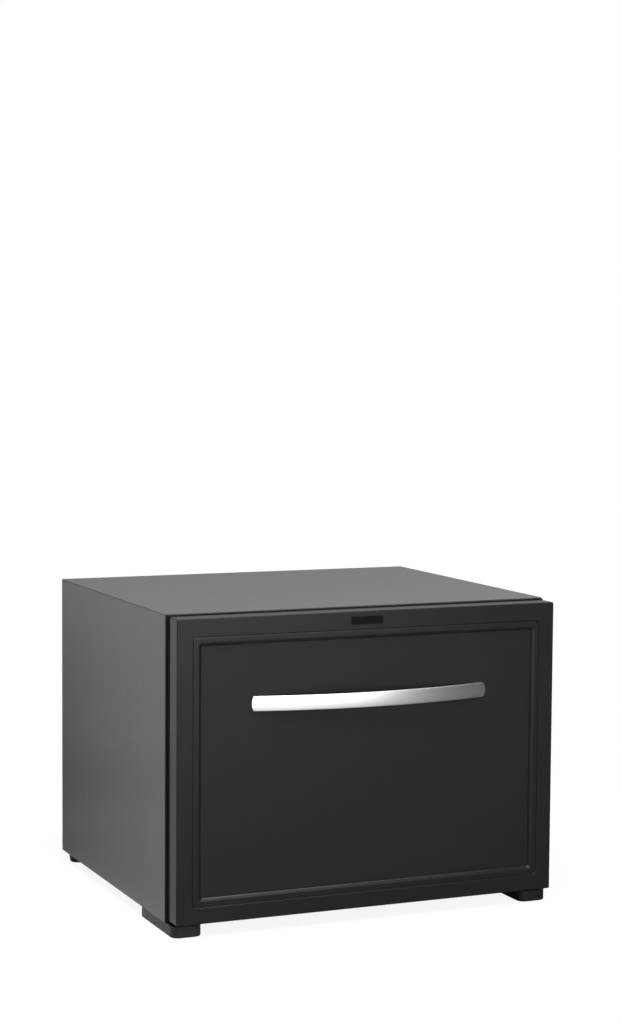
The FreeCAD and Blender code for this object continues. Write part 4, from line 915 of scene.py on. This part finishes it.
def floor():
    """Pale floor: plain paint that takes the shadow, white for the eye, and painted light and shade
    for gloss and glass.
    """
    half = FLOOR_HALF
    mesh = bpy.data.meshes.new("studio_floor")
    mesh.from_pydata([(-half, -half, 0), (half, -half, 0), (half, half, 0), (-half, half, 0)], [],
                     [(0, 1, 2, 3)])
    material = bpy.data.materials.new("studio_floor")
    tree = cleared(material)
    paint = node(tree, "BsdfDiffuse", Color=grey(FLOOR_PAINT))
    glow = node(tree, "Emission", Color=grey(1.0), Strength=1.0)
    place = node(tree, "TexCoord")
    away = node(tree, "VectorMath", operation="LENGTH")
    link(tree, place, "Object", away, 0)
    share = smooth(tree, away.outputs["Value"], WHITE_SPAN, (FLOOR_WHITE, 1.0))
    path = node(tree, "LightPath")
    # painted light and shade for shiny surfaces and glass, plain white for the eye
    level = combined(tree, "MAXIMUM", floor_glow(tree, place), path.outputs["Is Camera Ray"])
    tree.links.new(level, glow.inputs["Strength"])
    mix = white_for_eye(tree, paint.outputs[0], glow.outputs[0], share)
    out = node(tree, "OutputMaterial")
    link(tree, mix, "Shader", out, "Surface")
    mesh.materials.append(material)
    made = bpy.data.objects.new("studio_floor", mesh)
    bpy.context.scene.collection.objects.link(made)


def studio():
    """Pale surround: white behind the object, dimmer on the camera's side."""
    world = bpy.data.worlds.new("studio")
    bpy.context.scene.world = world
    tree = cleared(world)
    place = node(tree, "TexCoord")
    parts = node(tree, "SeparateXYZ")
    link(tree, place, "Generated", parts, "Vector")
    level = smooth(tree, slanted(tree, parts, STUDIO_SLOPE), STUDIO_SPAN, (STUDIO_DIM, 1.0))
    aside = smooth(tree, parts.outputs["X"], STUDIO_ASIDE, (STUDIO_LEFT, STUDIO_RIGHT))
    around = node(tree, "Background", Color=grey(1.0))
    tree.links.new(combined(tree, "MULTIPLY", level, aside), around.inputs["Strength"])
    white = node(tree, "Background", Color=grey(1.0), Strength=1.0)
    path = node(tree, "LightPath")
    mix = mixed(tree, path.outputs["Is Camera Ray"], around.outputs[0], white.outputs[0])
    out = node(tree, "OutputWorld")
    link(tree, mix, "Shader", out, "Surface")


def softbox(name, place, aim, size, power):
    """A rectangular light that no camera sees but polished surfaces do."""
    data = bpy.data.lights.new(name, "AREA")
    data.shape = "RECTANGLE"
    data.size, data.size_y = size
    data.energy = power
    made = bpy.data.objects.new(name, data)
    made.location = place
    made.rotation_euler = (Vector(aim) - Vector(place)).to_track_quat("-Z", "Y").to_euler()
    made.visible_camera = False
    bpy.context.scene.collection.objects.link(made)


def camera():
    """At the photograph's viewing angle."""
    azimuth, elevation, roll = (math.radians(angle) for angle in CAMERA_ANGLES)
    back = Vector((math.sin(azimuth) * math.cos(elevation),
                   -math.cos(azimuth) * math.cos(elevation), math.sin(elevation)))
    ahead = -back
    right = ahead.cross(Vector((0, 0, 1))).normalized()
    up = right.cross(ahead)
    cam_x = right * math.cos(roll) + up * math.sin(roll)
    cam_y = -right * math.sin(roll) + up * math.cos(roll)
    data = bpy.data.cameras.new("camera")
    data.lens = CAMERA_LENS
    data.sensor_width = SENSOR_WIDTH
    made = bpy.data.objects.new("camera", data)
    turn = Matrix((cam_x, cam_y, back)).transposed().to_4x4()
    made.matrix_world = Matrix.Translation(CAMERA_PLACE) @ turn
    bpy.context.scene.collection.objects.link(made)
    bpy.context.scene.camera = made


floor()
studio()
softbox("key_softbox", (0.12, -2.75, 1.30), (0.0, -0.24, 0.60), (2.35, 2.7), 51.0)
softbox("high_softbox", (-0.4, -0.84, 2.2), (-0.1, -0.24, 0.2), (2.2, 1.5), 68.0)
softbox("corner_softbox", (-0.7, -1.6, 2.1), (0.1, -0.24, 0.2), (0.7, 0.7), 16.0)
softbox("overhead_strip", (0.0, -0.42, 2.3), (0.0, -0.42, 0.2), (2.4, 0.35), 26.0)
softbox("back_softbox", (-1.1, 2.3, 2.6), (0.0, 0.2, 0.2), (1.2, 1.2), 5.0)
softbox("side_card", (-1.18, 0.75, 0.65), (-0.9, -0.3, 0.5), (1.3, 1.3), 3.6)
camera()

bpy.context.scene.view_settings.view_transform = "Standard"
